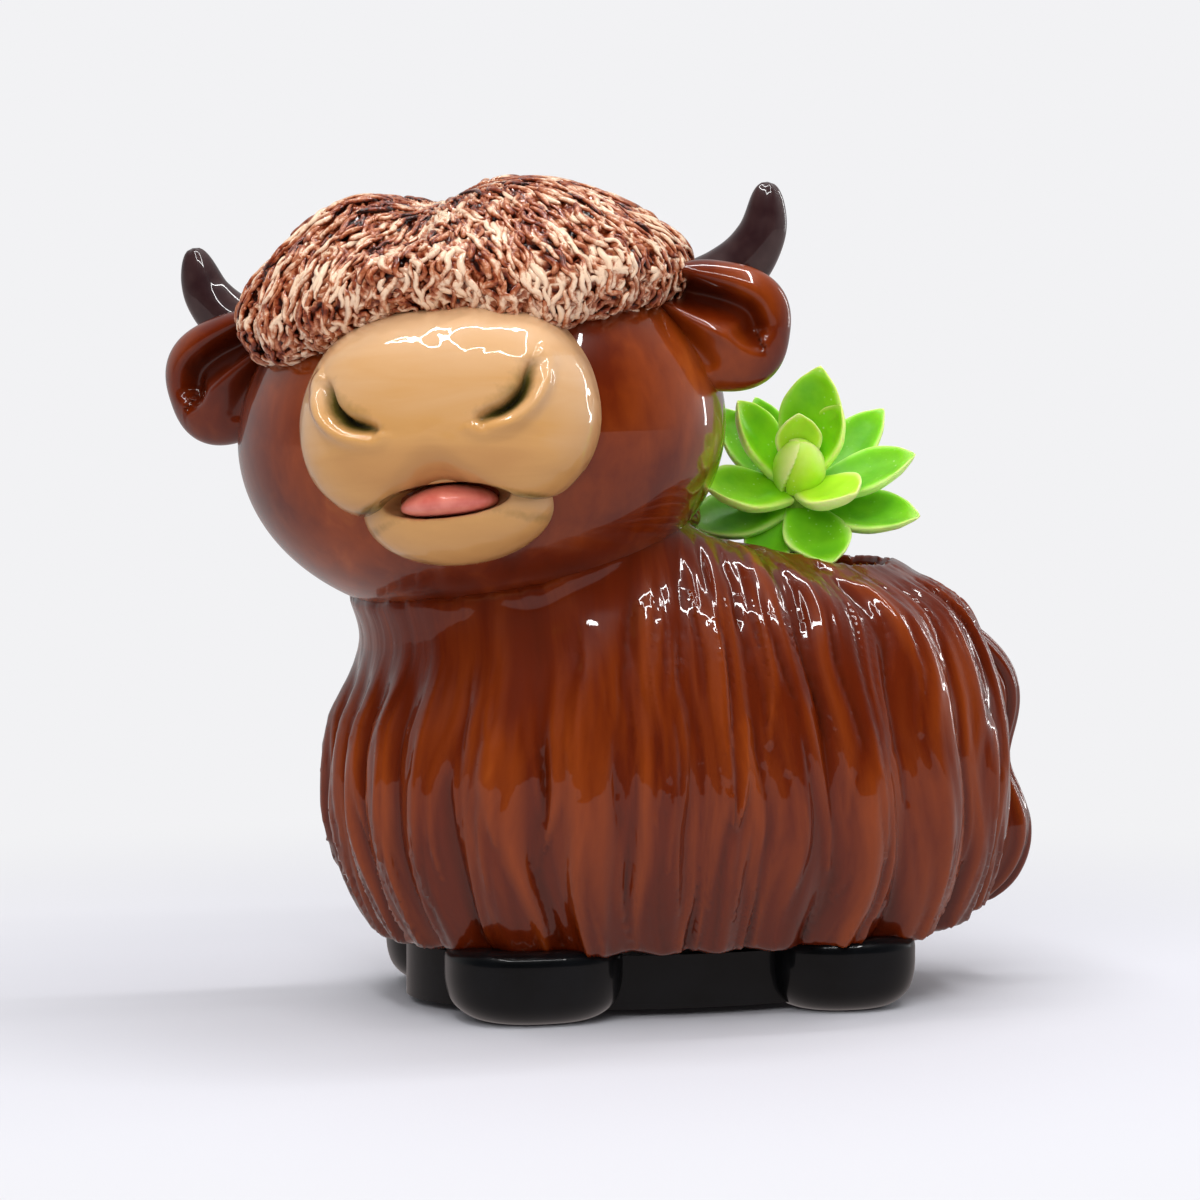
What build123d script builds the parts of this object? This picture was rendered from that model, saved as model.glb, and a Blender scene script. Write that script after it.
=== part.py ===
from build123d import *

import math
import os

# A glazed ceramic planter: a long-haired cow that looks over its left side, with a succulent in its back.
# Millimetres and degrees. The torso faces -Y, the animal's left side is +X, +Z is up.
# The pieces are placed round the middle of the torso's outline on the table, and at the end all of them
# are moved together so that the origin is the middle of the whole footprint.

# Torso: one hollow casting with a coat of long locks that hangs from the back to the hem.
torso_length = 140.0
torso_width = 96.0
back_height = 88.5
hem_height = 12.0
torso_wall = 5.0
floor_thickness = 7.0
lock_depth = 1.3
lock_count = 28
lock_points = 4
lock_drift = 0.9
lock_wander = 1.1
lock_wander_waves = 5
outline_power = 2.35
# Each row: height, front reach, rear reach, half width and lock depth, as shares of the coat's height,
# half the torso's length, half the length, half the width and the depth of a lock.
torso_shares = (
    (0.00, 0.84, 0.90, 0.83, 1.00),
    (0.14, 0.935, 0.965, 0.94, 1.00),
    (0.34, 0.99, 1.00, 1.00, 1.00),
    (0.56, 0.98, 0.985, 0.975, 0.85),
    (0.74, 0.93, 0.935, 0.89, 0.60),
    (0.87, 0.87, 0.865, 0.76, 0.30),
    (0.95, 0.80, 0.79, 0.63, 0.00),
    (1.00, 0.66, 0.68, 0.44, 0.00),
)
rump_rise = 6.0
rump_rise_start = 48.0
rump_rise_end = 71.0

# Joint line between castings that are stuck together before the glaze goes on.
seat_gap = 0.08

# Neck: a round collar that rises out of the front of the torso and carries the head.
neck_radius = 31.0
neck_root_radius = 35.0
neck_forward = 27.0
neck_root_height = 60.0
neck_top_height = 93.0

# Mouth of the planting well in the back, and the drain hole through the floor.
mouth_radius = 24.0
mouth_back = 29.5
drain_radius = 5.0
overrun = 4.0

# Black base under the coat: an oval foot ring, open underneath.
base_length = 104.0
base_width = 62.0
base_lift = 1.5
base_wall = 7.0
base_web = 4.0
base_hole_radius = 8.0

# Hooves: round black feet under the coat.
hoof_radius = 15.0
hoof_spacing = 50.0
hoof_front = 35.0
hoof_rear = 30.0
hoof_toe_radius = 6.5

# Head: a hollow egg, turned to the animal's left and tipped a little to one side.
head_width = 96.0
head_depth = 86.0
head_height = 74.0
head_left = 6.0
head_forward = 38.5
head_centre_height = 111.5
head_wall = 5.0
head_turn = 63.0
head_roll = 6.0
vent_radius = 6.0

# Muzzle and chin, measured from the middle of the head.
muzzle_width = 57.0
muzzle_height = 42.0
muzzle_root = 22.0
muzzle_reach = 54.3
muzzle_rise = 3.5
muzzle_nose_drop = 3.0
# Half the muzzle seen from the front, from the bridge of the nose round a jowl to the middle of the
# lip, as shares of half its width and half its height.
muzzle_outline_shares = (
    (0.00, 1.00),
    (0.46, 0.94),
    (0.77, 0.67),
    (0.95, 0.21),
    (1.00, -0.31),
    (0.91, -0.74),
    (0.63, -0.99),
    (0.30, -0.94),
    (0.00, -0.78),
)
# Each row: place from the root to the nose and size of the outline there, as shares.
muzzle_dome_shares = ((0.00, 0.97), (0.42, 1.00), (0.66, 0.93), (0.83, 0.77), (0.93, 0.55), (0.985, 0.27))
chin_width = 37.0
chin_depth = 29.0
chin_height = 24.0
chin_forward = 33.5
chin_drop = 15.0

# Nostrils, mouth and tongue.
nostril_spacing = 34.0
nostril_forward = 50.5
nostril_rise = 6.5
nostril_length = 15.0
nostril_depth = 7.0
nostril_gap = 3.4
nostril_lean = 38.0
slot_width = 26.0
slot_depth = 20.0
slot_gap = 6.4
slot_forward = 46.0
slot_drop = 13.2
tongue_width = 18.0
tongue_depth = 14.0
tongue_thickness = 5.2
tongue_back = 4.0
tongue_sink = 1.2

# Mop of hair over the head, measured from the middle of the head.
mop_low = 21.0
mop_top = 51.5
mop_width = 92.6
mop_depth = 90.0
mop_back = 1.0
mop_lock_depth = 1.7
mop_lock_count = 22
mop_tilt = 4.0
# Each row: height, reach and lock depth, as shares of the mop's height, half its width and depth, and
# the depth of a lock.
mop_shares = (
    (0.00, 0.86, 0.6),
    (0.12, 0.965, 1.0),
    (0.28, 1.00, 1.0),
    (0.46, 0.965, 0.9),
    (0.64, 0.84, 0.8),
    (0.81, 0.69, 0.6),
    (0.93, 0.53, 0.3),
    (1.00, 0.36, 0.0),
)
parting_depth = 3.0
parting_width = 14.0
parting_right = 8.0

# Horns: round and tapered, swept out of the hair and then up.
horn_radius = 7.4
horn_root_out = 37.0
horn_root_rise = 20.0
horn_bend_out = 49.0
horn_bend_rise = 25.0
horn_elbow_out = 56.5
horn_elbow_rise = 32.5
horn_tip_out = 59.0
horn_tip_rise = 43.0
horn_back = 15.0
# Each row: place along the horn and its radius, as shares. The horn ends in a rounded tip.
horn_shares = ((0.00, 1.00), (0.30, 0.90), (0.55, 0.74), (0.76, 0.59), (0.90, 0.43), (0.975, 0.23))

# Ears: thick paddles with two hollows in front, a deep one under the rim and a shallow one in the lobe.
ear_length = 30.0
ear_height = 25.0
ear_depth = 14.0
ear_out = 49.5
ear_rise = 15.5
ear_back = -2.0
ear_droop = 14.0
ear_sweep = 14.0
ear_upper_hollow = 9.0
ear_upper_height = 8.5
ear_upper_rise = 3.2
ear_lower_hollow = 6.5
ear_lower_height = 7.5
ear_lower_drop = 5.2
ear_hollow_length = 22.0
ear_hollow_slope = 24.0

# Tail: a rope of hair down the rump that ends in a tuft.
tail_radius = 6.3
tail_root_back = 49.0
tail_root_height = 77.0
tail_bulge_back = 68.5
tail_bulge_height = 60.0
tail_waist_back = 68.0
tail_waist_height = 43.0
tuft_back = 70.0
tuft_height = 28.0
tail_end_back = 65.0
tail_end_height = 14.5
# Each row: place along the tail and its radius, as shares. The tuft ends in a rounded tip.
tail_shares = (
    (0.00, 0.70),
    (0.16, 0.90),
    (0.34, 1.00),
    (0.52, 0.80),
    (0.62, 0.86),
    (0.76, 1.26),
    (0.88, 1.16),
    (0.96, 0.76),
)

# Filling: a mesh disc over the drain hole, potting mix, and the root plug of the plant.
screen_radius = 11.0
screen_thickness = 1.2
screen_hole_radius = 1.1
screen_pitch = 3.2
soil_gap = 0.3
mix_drop = 7.0
plug_radius = 16.0
plug_foot_radius = 12.5
plug_depth = 38.0
plug_lean = 25.0

# Succulent: a rosette on a short stem that leans out over the animal's left side.
rosette_left = 2.0
rosette_back = 28.0
rosette_height = 97.0
rosette_lean = 40.0
rosette_lean_turn = -16.0
stem_radius = 3.4
core_radius = 4.2
core_length = 10.0
bud_radius = 4.9
bud_length = 14.0
leaf_length = 26.0
leaf_width = 11.6
leaf_thickness = 3.6
leaf_curl = 3.0
# Each row, from the heart outwards: turn round the rosette from its lowest side, climb out of the
# rosette's plane, and length, width and place up the core as shares.
leaf_rows = (
    ("leaf_inner_1", 184, 68, 0.62, 0.72, 0.80),
    ("leaf_inner_2", 70, 38, 0.62, 0.86, 0.70),
    ("leaf_middle_1", 126, 50, 0.76, 0.80, 0.62),
    ("leaf_middle_2", -76, 32, 0.78, 0.84, 0.56),
    ("leaf_middle_3", -132, 46, 0.85, 0.84, 0.50),
    ("leaf_middle_4", 168, 54, 1.00, 1.06, 0.40),
    ("leaf_outer_1", 100, 22, 0.96, 0.86, 0.36),
    ("leaf_outer_2", 28, 14, 0.92, 0.98, 0.34),
    ("leaf_outer_3", -158, 18, 0.92, 0.80, 0.24),
    ("leaf_outer_4", -62, 9, 0.92, 0.92, 0.26),
    ("leaf_outer_5", 130, 26, 1.00, 0.90, 0.14),
    ("leaf_outer_6", 71, 12, 1.00, 0.90, 0.12),
    ("leaf_outer_7", -138, 26, 0.98, 0.86, 0.08),
    ("leaf_outer_8", -30, 3, 0.80, 0.80, 0.16),
)
# Each row: place along the leaf, width and thickness, as shares of the leaf's own.
leaf_section_shares = (
    (0.00, 0.42, 0.90),
    (0.22, 0.66, 1.00),
    (0.48, 0.95, 0.95),
    (0.66, 0.98, 0.85),
    (0.86, 0.58, 0.60),
)


def ellipsoid(width, depth, height):
    return scale(Sphere(1), by=(width / 2, depth / 2, height / 2))


def oval_face(height, half_width, front, rear, depth, waves, phase, points):
    """A rounded oval at a height, its edge drawn into waves that stand for locks of hair."""
    edge = []
    for step in range(points):
        turn = 2 * math.pi * step / points
        across = math.cos(turn)
        along = math.sin(turn)
        stretch = (abs(across) ** outline_power + abs(along) ** outline_power) ** (-1 / outline_power)
        wander = lock_wander * math.sin(lock_wander_waves * turn)
        lock = depth * math.cos(waves * turn + wander + phase)
        reach = rear if along > 0 else front
        edge.append((across * (half_width * stretch + lock), along * (reach * stretch + lock), height))
    return make_face(Spline(edge, periodic=True))


def torso_form(inset, low, high, depth):
    """The torso's outline from one height to another, drawn in by an inset."""
    points = lock_count * lock_points if depth else lock_count
    faces = []
    for rise, front, rear, across, lock in torso_shares:
        faces.append(
            oval_face(
                low + rise * (high - low),
                across * torso_width / 2 - inset,
                front * torso_length / 2 - inset,
                rear * torso_length / 2 - inset,
                lock * depth,
                lock_count,
                lock_drift * rise,
                points,
            )
        )
    return loft(faces)


def tapered_tube(spine, radius, shares):
    """A round tube along a spine that ends in a rounded tip."""
    faces = []
    for place, thickness in shares:
        faces.append(Plane(origin=spine @ place, z_dir=spine % place) * Circle(radius * thickness))
    end = spine @ 1
    return loft([*faces, Vertex(end.X, end.Y, end.Z)])


def boxes_meet(one, other):
    """Whether the bounding boxes of two shapes overlap."""
    a = one.bounding_box()
    b = other.bounding_box()
    return all(
        a.min.to_tuple()[axis] < b.max.to_tuple()[axis] and b.min.to_tuple()[axis] < a.max.to_tuple()[axis]
        for axis in range(3)
    )


def largest(shape):
    """The one main solid of a shape, without the crumbs of a cut."""
    return max(shape.solids(), key=lambda solid: solid.volume)


head_place = Pos(head_left, -head_forward, head_centre_height) * Rot(Z=head_turn) * Rot(Y=-head_roll)


def head_form(growth):
    return ellipsoid(head_width + 2 * growth, head_depth + 2 * growth, head_height + 2 * growth)


def make_coat(growth):
    """The outside of the torso with its neck, raised under the rump."""
    coat = torso_form(-growth, hem_height, back_height + growth, lock_depth)
    neck = loft(
        [
            Pos(0, -neck_forward, neck_root_height) * Circle(neck_root_radius + growth),
            Pos(0, -neck_forward, neck_top_height) * Circle(neck_radius + growth),
        ]
    )
    rump = Polyline(
        (rump_rise_start, hem_height - overrun),
        (rump_rise_start, hem_height),
        (rump_rise_end, hem_height + rump_rise),
        (rump_rise_end + overrun, hem_height + rump_rise),
        (rump_rise_end + overrun, hem_height - overrun),
        close=True,
    )
    rump_cut = extrude(Plane.YZ * make_face(rump), torso_width / 2, both=True)
    return coat + neck - rump_cut


def make_cavity(gap):
    """The planting well inside the torso, or what fills it with a gap all round."""
    inset = torso_wall + gap
    low = hem_height + floor_thickness
    cavity = torso_form(inset, low, back_height - inset, 0)
    return cavity - head_place * head_form(head_wall + gap)


def make_torso_shell():
    coat = make_coat(0)
    mouth_floor = back_height - 2 * mix_drop
    mouth = Pos(0, mouth_back, mouth_floor) * Cylinder(
        mouth_radius, head_height, align=(Align.CENTER, Align.CENTER, Align.MIN)
    )
    drain = Pos(0, 0, hem_height + floor_thickness / 2) * Cylinder(
        drain_radius, floor_thickness + 2 * overrun
    )
    vent = Pos(0, -neck_forward, head_centre_height - head_height / 2) * Cylinder(
        vent_radius, head_height / 2
    )
    return coat - head_place * head_form(seat_gap) - make_cavity(0) - mouth - drain - vent


def make_head_shell():
    shell = head_place * (head_form(0) - head_form(-head_wall))
    vent = Pos(0, -neck_forward, head_centre_height - head_height / 2) * Cylinder(
        vent_radius, head_height / 2
    )
    return shell - vent


def make_mop_form(growth):
    """The whole mop of hair before the head is taken out of it."""
    faces = []
    for rise, reach, lock in mop_shares:
        faces.append(
            oval_face(
                mop_low - growth + rise * (mop_top - mop_low + 2 * growth),
                reach * mop_width / 2 + growth,
                reach * mop_depth / 2 + growth,
                reach * mop_depth / 2 + growth,
                lock * mop_lock_depth,
                mop_lock_count,
                0,
                mop_lock_count * lock_points,
            )
        )
    parting_radius = (parting_width**2 / 4 + parting_depth**2) / (2 * parting_depth)
    parting = (
        Pos(-parting_right, 0, mop_top - parting_depth + parting_radius)
        * Rot(X=90)
        * Cylinder(parting_radius - growth, mop_depth)
    )
    return Pos(0, mop_back, 0) * Rot(X=mop_tilt) * (loft(faces) - parting)


def make_muzzle_form():
    """The upper muzzle: a broad nose with two jowls that meet in a cleft over the mouth."""
    left = [point for point in muzzle_outline_shares[1:-1]]
    right = [(-across, rise) for across, rise in reversed(left)]
    outline = [muzzle_outline_shares[0], *left, muzzle_outline_shares[-1], *right]
    faces = []
    for place, size in muzzle_dome_shares:
        forward = muzzle_root + place * (muzzle_reach - muzzle_root)
        middle = muzzle_rise - muzzle_nose_drop * place
        points = []
        for across, rise in outline:
            x = size * across * muzzle_width / 2
            z = middle + size * rise * muzzle_height / 2
            points.append((x, -forward, z))
        faces.append(make_face(Spline(points, periodic=True)))
    return loft([*faces, Vertex(0, -muzzle_reach, muzzle_rise - muzzle_nose_drop)])


def make_slot_form():
    return Pos(0, -slot_forward, -slot_drop) * ellipsoid(slot_width, slot_depth, slot_gap)


def make_muzzle(form, slot, head, mop):
    muzzle = form - head - slot - mop
    for side in (-1, 1):
        muzzle -= (
            Pos(side * nostril_spacing / 2, -nostril_forward, nostril_rise)
            * Rot(Y=-side * nostril_lean)
            * ellipsoid(nostril_length, nostril_depth, nostril_gap)
        )
    return largest(muzzle)


def make_chin(muzzle_form, slot, head):
    chin = Pos(0, -chin_forward, -chin_drop) * ellipsoid(chin_width, chin_depth, chin_height)
    return largest(chin - muzzle_form - head - slot)


def make_tongue(slot, head):
    tongue = Pos(0, tongue_back - slot_forward, -slot_drop - tongue_sink) * ellipsoid(
        tongue_width, tongue_depth, tongue_thickness
    )
    return largest((tongue & slot) - head)


def make_horn(side):
    spine = Spline(
        (side * horn_root_out, horn_back, horn_root_rise),
        (side * horn_bend_out, horn_back, horn_bend_rise),
        (side * horn_elbow_out, horn_back, horn_elbow_rise),
        (side * horn_tip_out, horn_back, horn_tip_rise),
    )
    return tapered_tube(spine, horn_radius, horn_shares)


def make_ear(side):
    paddle = ellipsoid(ear_length, ear_depth, ear_height)
    hollows = (
        (ear_upper_rise, ear_upper_height, ear_upper_hollow),
        (-ear_lower_drop, ear_lower_height, ear_lower_hollow),
    )
    for rise, height, depth in hollows:
        paddle -= (
            Pos(0, -ear_depth / 2, rise)
            * Rot(Y=side * ear_hollow_slope)
            * ellipsoid(ear_hollow_length, 2 * depth, height)
        )
    place = Pos(side * ear_out, ear_back, ear_rise) * Rot(Z=side * ear_sweep) * Rot(Y=side * ear_droop)
    return place * paddle


def make_tail():
    spine = Spline(
        (0, tail_root_back, tail_root_height),
        (0, tail_bulge_back, tail_bulge_height),
        (0, tail_waist_back, tail_waist_height),
        (0, tuft_back, tuft_height),
        (0, tail_end_back, tail_end_height),
    )
    return largest(tapered_tube(spine, tail_radius, tail_shares) - make_coat(seat_gap))


def make_hoof(side, along):
    puck = Cylinder(hoof_radius, hem_height, align=(Align.CENTER, Align.CENTER, Align.MIN))
    puck = fillet(puck.edges().group_by(Axis.Z)[0], hoof_toe_radius)
    return Pos(side * hoof_spacing / 2, along, 0) * puck


def make_base_plinth(hooves):
    outside = Ellipse(base_width / 2, base_length / 2)
    inside = Ellipse(base_width / 2 - base_wall, base_length / 2 - base_wall)
    ring = Pos(0, 0, base_lift) * extrude(outside, hem_height - base_lift)
    recess = Pos(0, 0, base_lift) * extrude(inside, hem_height - base_web - base_lift)
    hole = Cylinder(base_hole_radius, 2 * hem_height + overrun)
    plinth = ring - recess - hole
    for hoof in hooves:
        plinth -= hoof
    return largest(plinth)


def make_drain_screen():
    holes = [
        Pos(x, y, 0) * Cylinder(screen_hole_radius, 2 * overrun)
        for x, y in grid_places(screen_radius - 2 * screen_hole_radius, screen_pitch)
    ]
    disc = Cylinder(screen_radius, screen_thickness, align=(Align.CENTER, Align.CENTER, Align.MIN))
    return Pos(0, 0, hem_height + floor_thickness) * (disc - holes)


def grid_places(reach, pitch):
    """The places of a square grid that lie within a circle."""
    steps = range(-int(reach / pitch), int(reach / pitch) + 1)
    places = [(pitch * column, pitch * row) for column in steps for row in steps]
    return [(x, y) for x, y in places if math.hypot(x, y) <= reach]


plug_place = Pos(0, mouth_back, back_height - mix_drop) * Rot(X=-plug_lean)


def make_plug_form(gap):
    """The tapered root plug, carried on past its top so that it can cut its own socket."""
    rise = plug_depth
    taper = (plug_radius - plug_foot_radius) / plug_depth
    lowest = -plug_depth - gap
    return plug_place * loft(
        [
            Pos(0, 0, lowest) * Circle(plug_foot_radius + gap),
            Pos(0, 0, rise) * Circle(plug_radius + gap + taper * rise),
        ]
    )


def above_mix():
    """Everything over the top of the potting mix."""
    return Pos(0, 0, back_height - mix_drop) * Box(
        torso_length, torso_length, torso_length, align=(Align.CENTER, Align.CENTER, Align.MIN)
    )


def make_potting_mix(screen_pocket):
    mix = make_cavity(soil_gap) - above_mix() - make_plug_form(soil_gap) - screen_pocket
    return largest(mix)


def make_leaf_form(climb, length, width):
    """A fleshy pointed leaf along +X that curls up towards its tip."""
    faces = []
    for place, across, thick in leaf_section_shares:
        rise = leaf_curl * place**2
        slope = 2 * leaf_curl * place / length
        section = Plane(origin=(length * place, 0, rise), x_dir=(0, 1, 0), z_dir=(1, 0, slope))
        faces.append(section * Ellipse(width * across / 2, leaf_thickness * thick / 2))
    return Rot(Y=-climb) * loft([*faces, Vertex(length, 0, leaf_curl)])


rosette_place = (
    Pos(rosette_left, rosette_back, rosette_height) * Rot(Z=rosette_lean_turn) * Rot(Y=rosette_lean)
)


def make_core():
    """The stub that all leaves grow from."""
    return Cylinder(core_radius, core_length, align=(Align.CENTER, Align.CENTER, Align.MIN))


def make_heart_bud():
    bud = Pos(0, 0, core_length) * ellipsoid(2 * bud_radius, 2 * bud_radius, bud_length)
    return bud - make_core()


def make_leaves(core, bud):
    """All leaves, from the heart outwards, each cut clear of the core and of the leaves above it."""
    leaves = {}
    taken = [core, bud]
    for name, turn, climb, long_share, wide_share, core_share in leaf_rows:
        form = make_leaf_form(climb, leaf_length * long_share, leaf_width * wide_share)
        whole = Pos(0, 0, core_length * core_share) * Rot(Z=turn) * form
        leaf = whole
        for other in taken:
            if boxes_meet(leaf, other):
                leaf = largest(leaf - other)
        leaves[name] = leaf
        taken.append(whole)
    return leaves


def make_stem(core, plug):
    foot = Vector(0, mouth_back, back_height - mix_drop)
    head = Vector(rosette_left, rosette_back, rosette_height)
    along = (head - foot).normalized()
    stem = Plane(origin=foot - along * overrun, z_dir=along) * Cylinder(
        stem_radius, (head - foot).length + 2 * overrun, align=(Align.CENTER, Align.CENTER, Align.MIN)
    )
    return largest(stem - rosette_place * core - plug)


def make_parts():
    parts = {"torso_shell": make_torso_shell(), "head_shell": make_head_shell()}

    head = head_form(seat_gap)
    mop = make_mop_form(seat_gap)
    muzzle_form = make_muzzle_form()
    slot = make_slot_form()
    on_head = {
        "muzzle": make_muzzle(muzzle_form, slot, head, mop),
        "chin": make_chin(muzzle_form, slot, head),
        "tongue": make_tongue(slot, head),
        "fringe": largest(make_mop_form(0) - head),
    }
    for side, name in ((1, "left"), (-1, "right")):
        horn = make_horn(side)
        on_head[f"horn_{name}"] = largest(horn - head - mop)
        on_head[f"ear_{name}"] = largest(make_ear(side) - head - mop - horn)
    for name, piece in on_head.items():
        parts[name] = head_place * piece

    parts["tail"] = make_tail()
    for side, side_name in ((1, "left"), (-1, "right")):
        for along, end_name in ((-hoof_front, "front"), (hoof_rear, "rear")):
            parts[f"hoof_{end_name}_{side_name}"] = make_hoof(side, along)
    parts["base_plinth"] = make_base_plinth([parts[name] for name in parts if name.startswith("hoof")])

    screen_pocket = Pos(0, 0, hem_height + floor_thickness) * Cylinder(
        screen_radius + soil_gap, 2 * (screen_thickness + soil_gap)
    )
    parts["drain_screen"] = make_drain_screen()
    parts["potting_mix"] = make_potting_mix(screen_pocket)
    parts["root_plug"] = make_plug_form(0) - above_mix()

    core = make_core()
    bud = make_heart_bud()
    parts["stem"] = make_stem(core, parts["root_plug"]) + rosette_place * core
    parts["heart_bud"] = rosette_place * bud
    for name, leaf in make_leaves(core, bud).items():
        parts[name] = rosette_place * leaf
    return parts


def main():
    parts = make_parts()
    box = parts["torso_shell"].bounding_box()
    for piece in parts.values():
        box = box.add(piece.bounding_box())
    middle = box.center()
    shift = Pos(-middle.X, -middle.Y, -box.min.Z)
    os.makedirs("parts", exist_ok=True)
    for name, piece in parts.items():
        export_step(shift * piece, f"parts/{name}.step")
    print("origin moved by", shift.position)


if __name__ == "__main__":
    main()
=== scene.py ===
import math
import random

import bpy
import numpy as np
from bpy.props import FloatProperty, FloatVectorProperty, IntProperty, PointerProperty
from mathutils import Matrix, Vector, noise


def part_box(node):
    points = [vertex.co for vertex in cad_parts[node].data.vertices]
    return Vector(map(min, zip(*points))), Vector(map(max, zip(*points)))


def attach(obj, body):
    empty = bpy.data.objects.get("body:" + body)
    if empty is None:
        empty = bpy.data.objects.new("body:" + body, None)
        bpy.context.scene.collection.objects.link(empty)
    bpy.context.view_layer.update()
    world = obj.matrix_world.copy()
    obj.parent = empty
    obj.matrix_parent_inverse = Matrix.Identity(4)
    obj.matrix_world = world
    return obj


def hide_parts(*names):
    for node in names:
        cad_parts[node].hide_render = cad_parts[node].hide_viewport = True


bl_info = {
    "name": "Cow Planter",
    "version": (1, 0, 0),
    "blender": (4, 5, 0),
    "location": "View3D > Sidebar > Planter",
    "description": "Models and glazes a ceramic cow planter with a succulent in its back",
    "category": "Object",
}

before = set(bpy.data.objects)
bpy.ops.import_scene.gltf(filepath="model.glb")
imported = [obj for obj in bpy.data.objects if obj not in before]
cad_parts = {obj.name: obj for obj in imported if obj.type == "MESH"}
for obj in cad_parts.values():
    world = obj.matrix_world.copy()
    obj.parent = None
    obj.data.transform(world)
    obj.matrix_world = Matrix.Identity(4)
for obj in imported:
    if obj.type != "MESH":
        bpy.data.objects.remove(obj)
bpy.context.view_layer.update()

MM = 0.001

# Where the pieces stand. The base ring is centred under the torso, and the head's box on the head.
FOOT_LOW, FOOT_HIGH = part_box("base_plinth")
HEAD_LOW, HEAD_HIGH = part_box("head_shell")
TORSO_MIDDLE = Vector(((FOOT_LOW.x + FOOT_HIGH.x) / 2, (FOOT_LOW.y + FOOT_HIGH.y) / 2, 0))
# Coat and head are seen this much higher than they are cast, in metres.
LIFT = 1.5 * MM
HEAD_MIDDLE = (HEAD_LOW + HEAD_HIGH) / 2 + Vector((0, 0, LIFT))
# The head is turned to the animal's left and rolled a little. The mop sits a little back on it.
HEAD_TURN = math.radians(63)
HEAD_ROLL = math.radians(6)
MOP_BACK = 1
MOP_TILT = math.radians(4)
# The foot of the core that carries leaves and bud, in millimetres, and how the core is turned and leans.
ROSETTE_FOOT = (2, 28, 97.6)
ROSETTE_TURN = math.radians(-16)
ROSETTE_TILT = math.radians(40)
TO_METRES = Matrix.Scale(MM, 4)
TORSO = Matrix.Translation(TORSO_MIDDLE) @ TO_METRES
HEAD = (
    Matrix.Translation(HEAD_MIDDLE)
    @ Matrix.Rotation(HEAD_TURN, 4, "Z")
    @ Matrix.Rotation(-HEAD_ROLL, 4, "Y")
    @ TO_METRES
)
MOP = HEAD @ Matrix.Translation((0, MOP_BACK, 0)) @ Matrix.Rotation(MOP_TILT, 4, "X")
ROSETTE = (
    TORSO
    @ Matrix.Translation(ROSETTE_FOOT)
    @ Matrix.Rotation(ROSETTE_TURN, 4, "Z")
    @ Matrix.Rotation(ROSETTE_TILT, 4, "Y")
)

# The coat, in millimetres: heights of its hem and back, half length and half width, and its big locks.
HEM = 13.5
BACK = 90.0
HALF_LENGTH = 70.0
HALF_WIDTH = 48.0
OUTLINE_POWER = 2.35
LOCKS = 28
# Each row: height, front reach, rear reach and half width, as shares.
COAT_SHARES = (
    (0.00, 0.81, 0.90, 0.83),
    (0.14, 0.90, 0.965, 0.94),
    (0.34, 0.95, 1.00, 1.00),
    (0.56, 0.93, 0.985, 0.975),
    (0.74, 0.84, 0.935, 0.89),
    (0.87, 0.77, 0.865, 0.76),
    (0.95, 0.70, 0.79, 0.63),
    (1.00, 0.58, 0.68, 0.44),
)
# How far the front of the cast coat reaches, row by row, before it is drawn in.
CAST_FRONT = (0.84, 0.935, 0.99, 0.98, 0.93, 0.87, 0.80, 0.66)
# Width of the groove between two big locks, as a share of a lock.
GROOVE_WIDTH = 0.07
# Between these heights the grooves grow shallower upwards, and the fine strands deeper.
UPPER_COAT = (56, 76)
# Between these heights the chest below the neck is smoothed over more and more.
CHEST = (46, 68)
# Loose locks: heights between which they start and end, half width and slant as shares of a big lock.
LOCK_TOPS = (50, 96)
LOCK_ENDS = (18, 52)
LOCK_TOP_MOST = 99.0
LOCK_END_LEAST = 7.0
LOCK_LEAST_LENGTH = 26
LOCK_HALF = (0.13, 0.27)
LOCK_SLANT = 0.34
# The mouth of the well: left, back and radius, as seen and as cast.
MOUTH = (0.0, 27.0, 20.5)
CAST_MOUTH = (0.0, 29.5, 24.0)
# How far round the mouth the coat follows it as it is made smaller.
MOUTH_BLEND = 13
# The neck: left, back and radius. It flares by a little where it meets the head.
NECK = (0.0, -27.0, 35.0)
FLARE_DEPTH = 9
FLARE_HEIGHT = 3.0
# A core inside head and neck: back, height of its middle, radius and length.
CORE = (-28.0, 84, 27, 26)
# How much the back rises towards the head.
BACK_RISE = 3.4
# How far the hem climbs under the rump, where that begins towards the back, and over what length.
HEM_CLIMB = 6
RUMP_START = 48
RUMP_LENGTH = 23
# Mean radius of the coat, round which its glaze streaks are laid.
COAT_RADIUS = 58

# The head is an egg with these half sizes and mean one. Its cheeks swell a little behind the muzzle.
HEAD_HALF = (48, 43, 37)
HEAD_MEAN = 40
CHEEK_SWELL = 0.012

# The mop: reach and height as shares, from the crown down over the edge and back under it.
MOP_HALF = (43.75, 43.5)
MOP_LOW = 21.0
MOP_RISE = 27.0
MOP_SHARES = (
    (0.00, 1.005),
    (0.22, 1.00),
    (0.40, 0.985),
    (0.55, 0.93),
    (0.69, 0.81),
    (0.83, 0.64),
    (0.94, 0.46),
    (0.99, 0.28),
    (0.97, 0.12),
    (0.91, 0.00),
    (0.80, -0.04),
    (0.66, 0.06),
    (0.40, 0.20),
    (0.00, 0.28),
)
# The dip of the parting: left, width and depth.
PARTING = (-3.5, 6.5, 3.4)
# Lumps round the side of the mop: their number and height.
MOP_LUMPS = 22
MOP_LUMP = 0.9
# Where the slip is thickest, whiter also as a painted highlight for the glaze's glints: how far left and how
# far above MOP_LOW, and its reach in those two ways.
CREAM_AND_GLINT_PLACE = (20, 8)
CREAM_AND_GLINT_REACH = (20, 7)
# Mean radius of the mop, round which its carved strands are laid.
MOP_RADIUS = 42
# Usual spacing of the strands, and of the finer ones that cross them.
STRAND_WAVE = 2.1
CROSS_WAVE = 1.5
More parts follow.
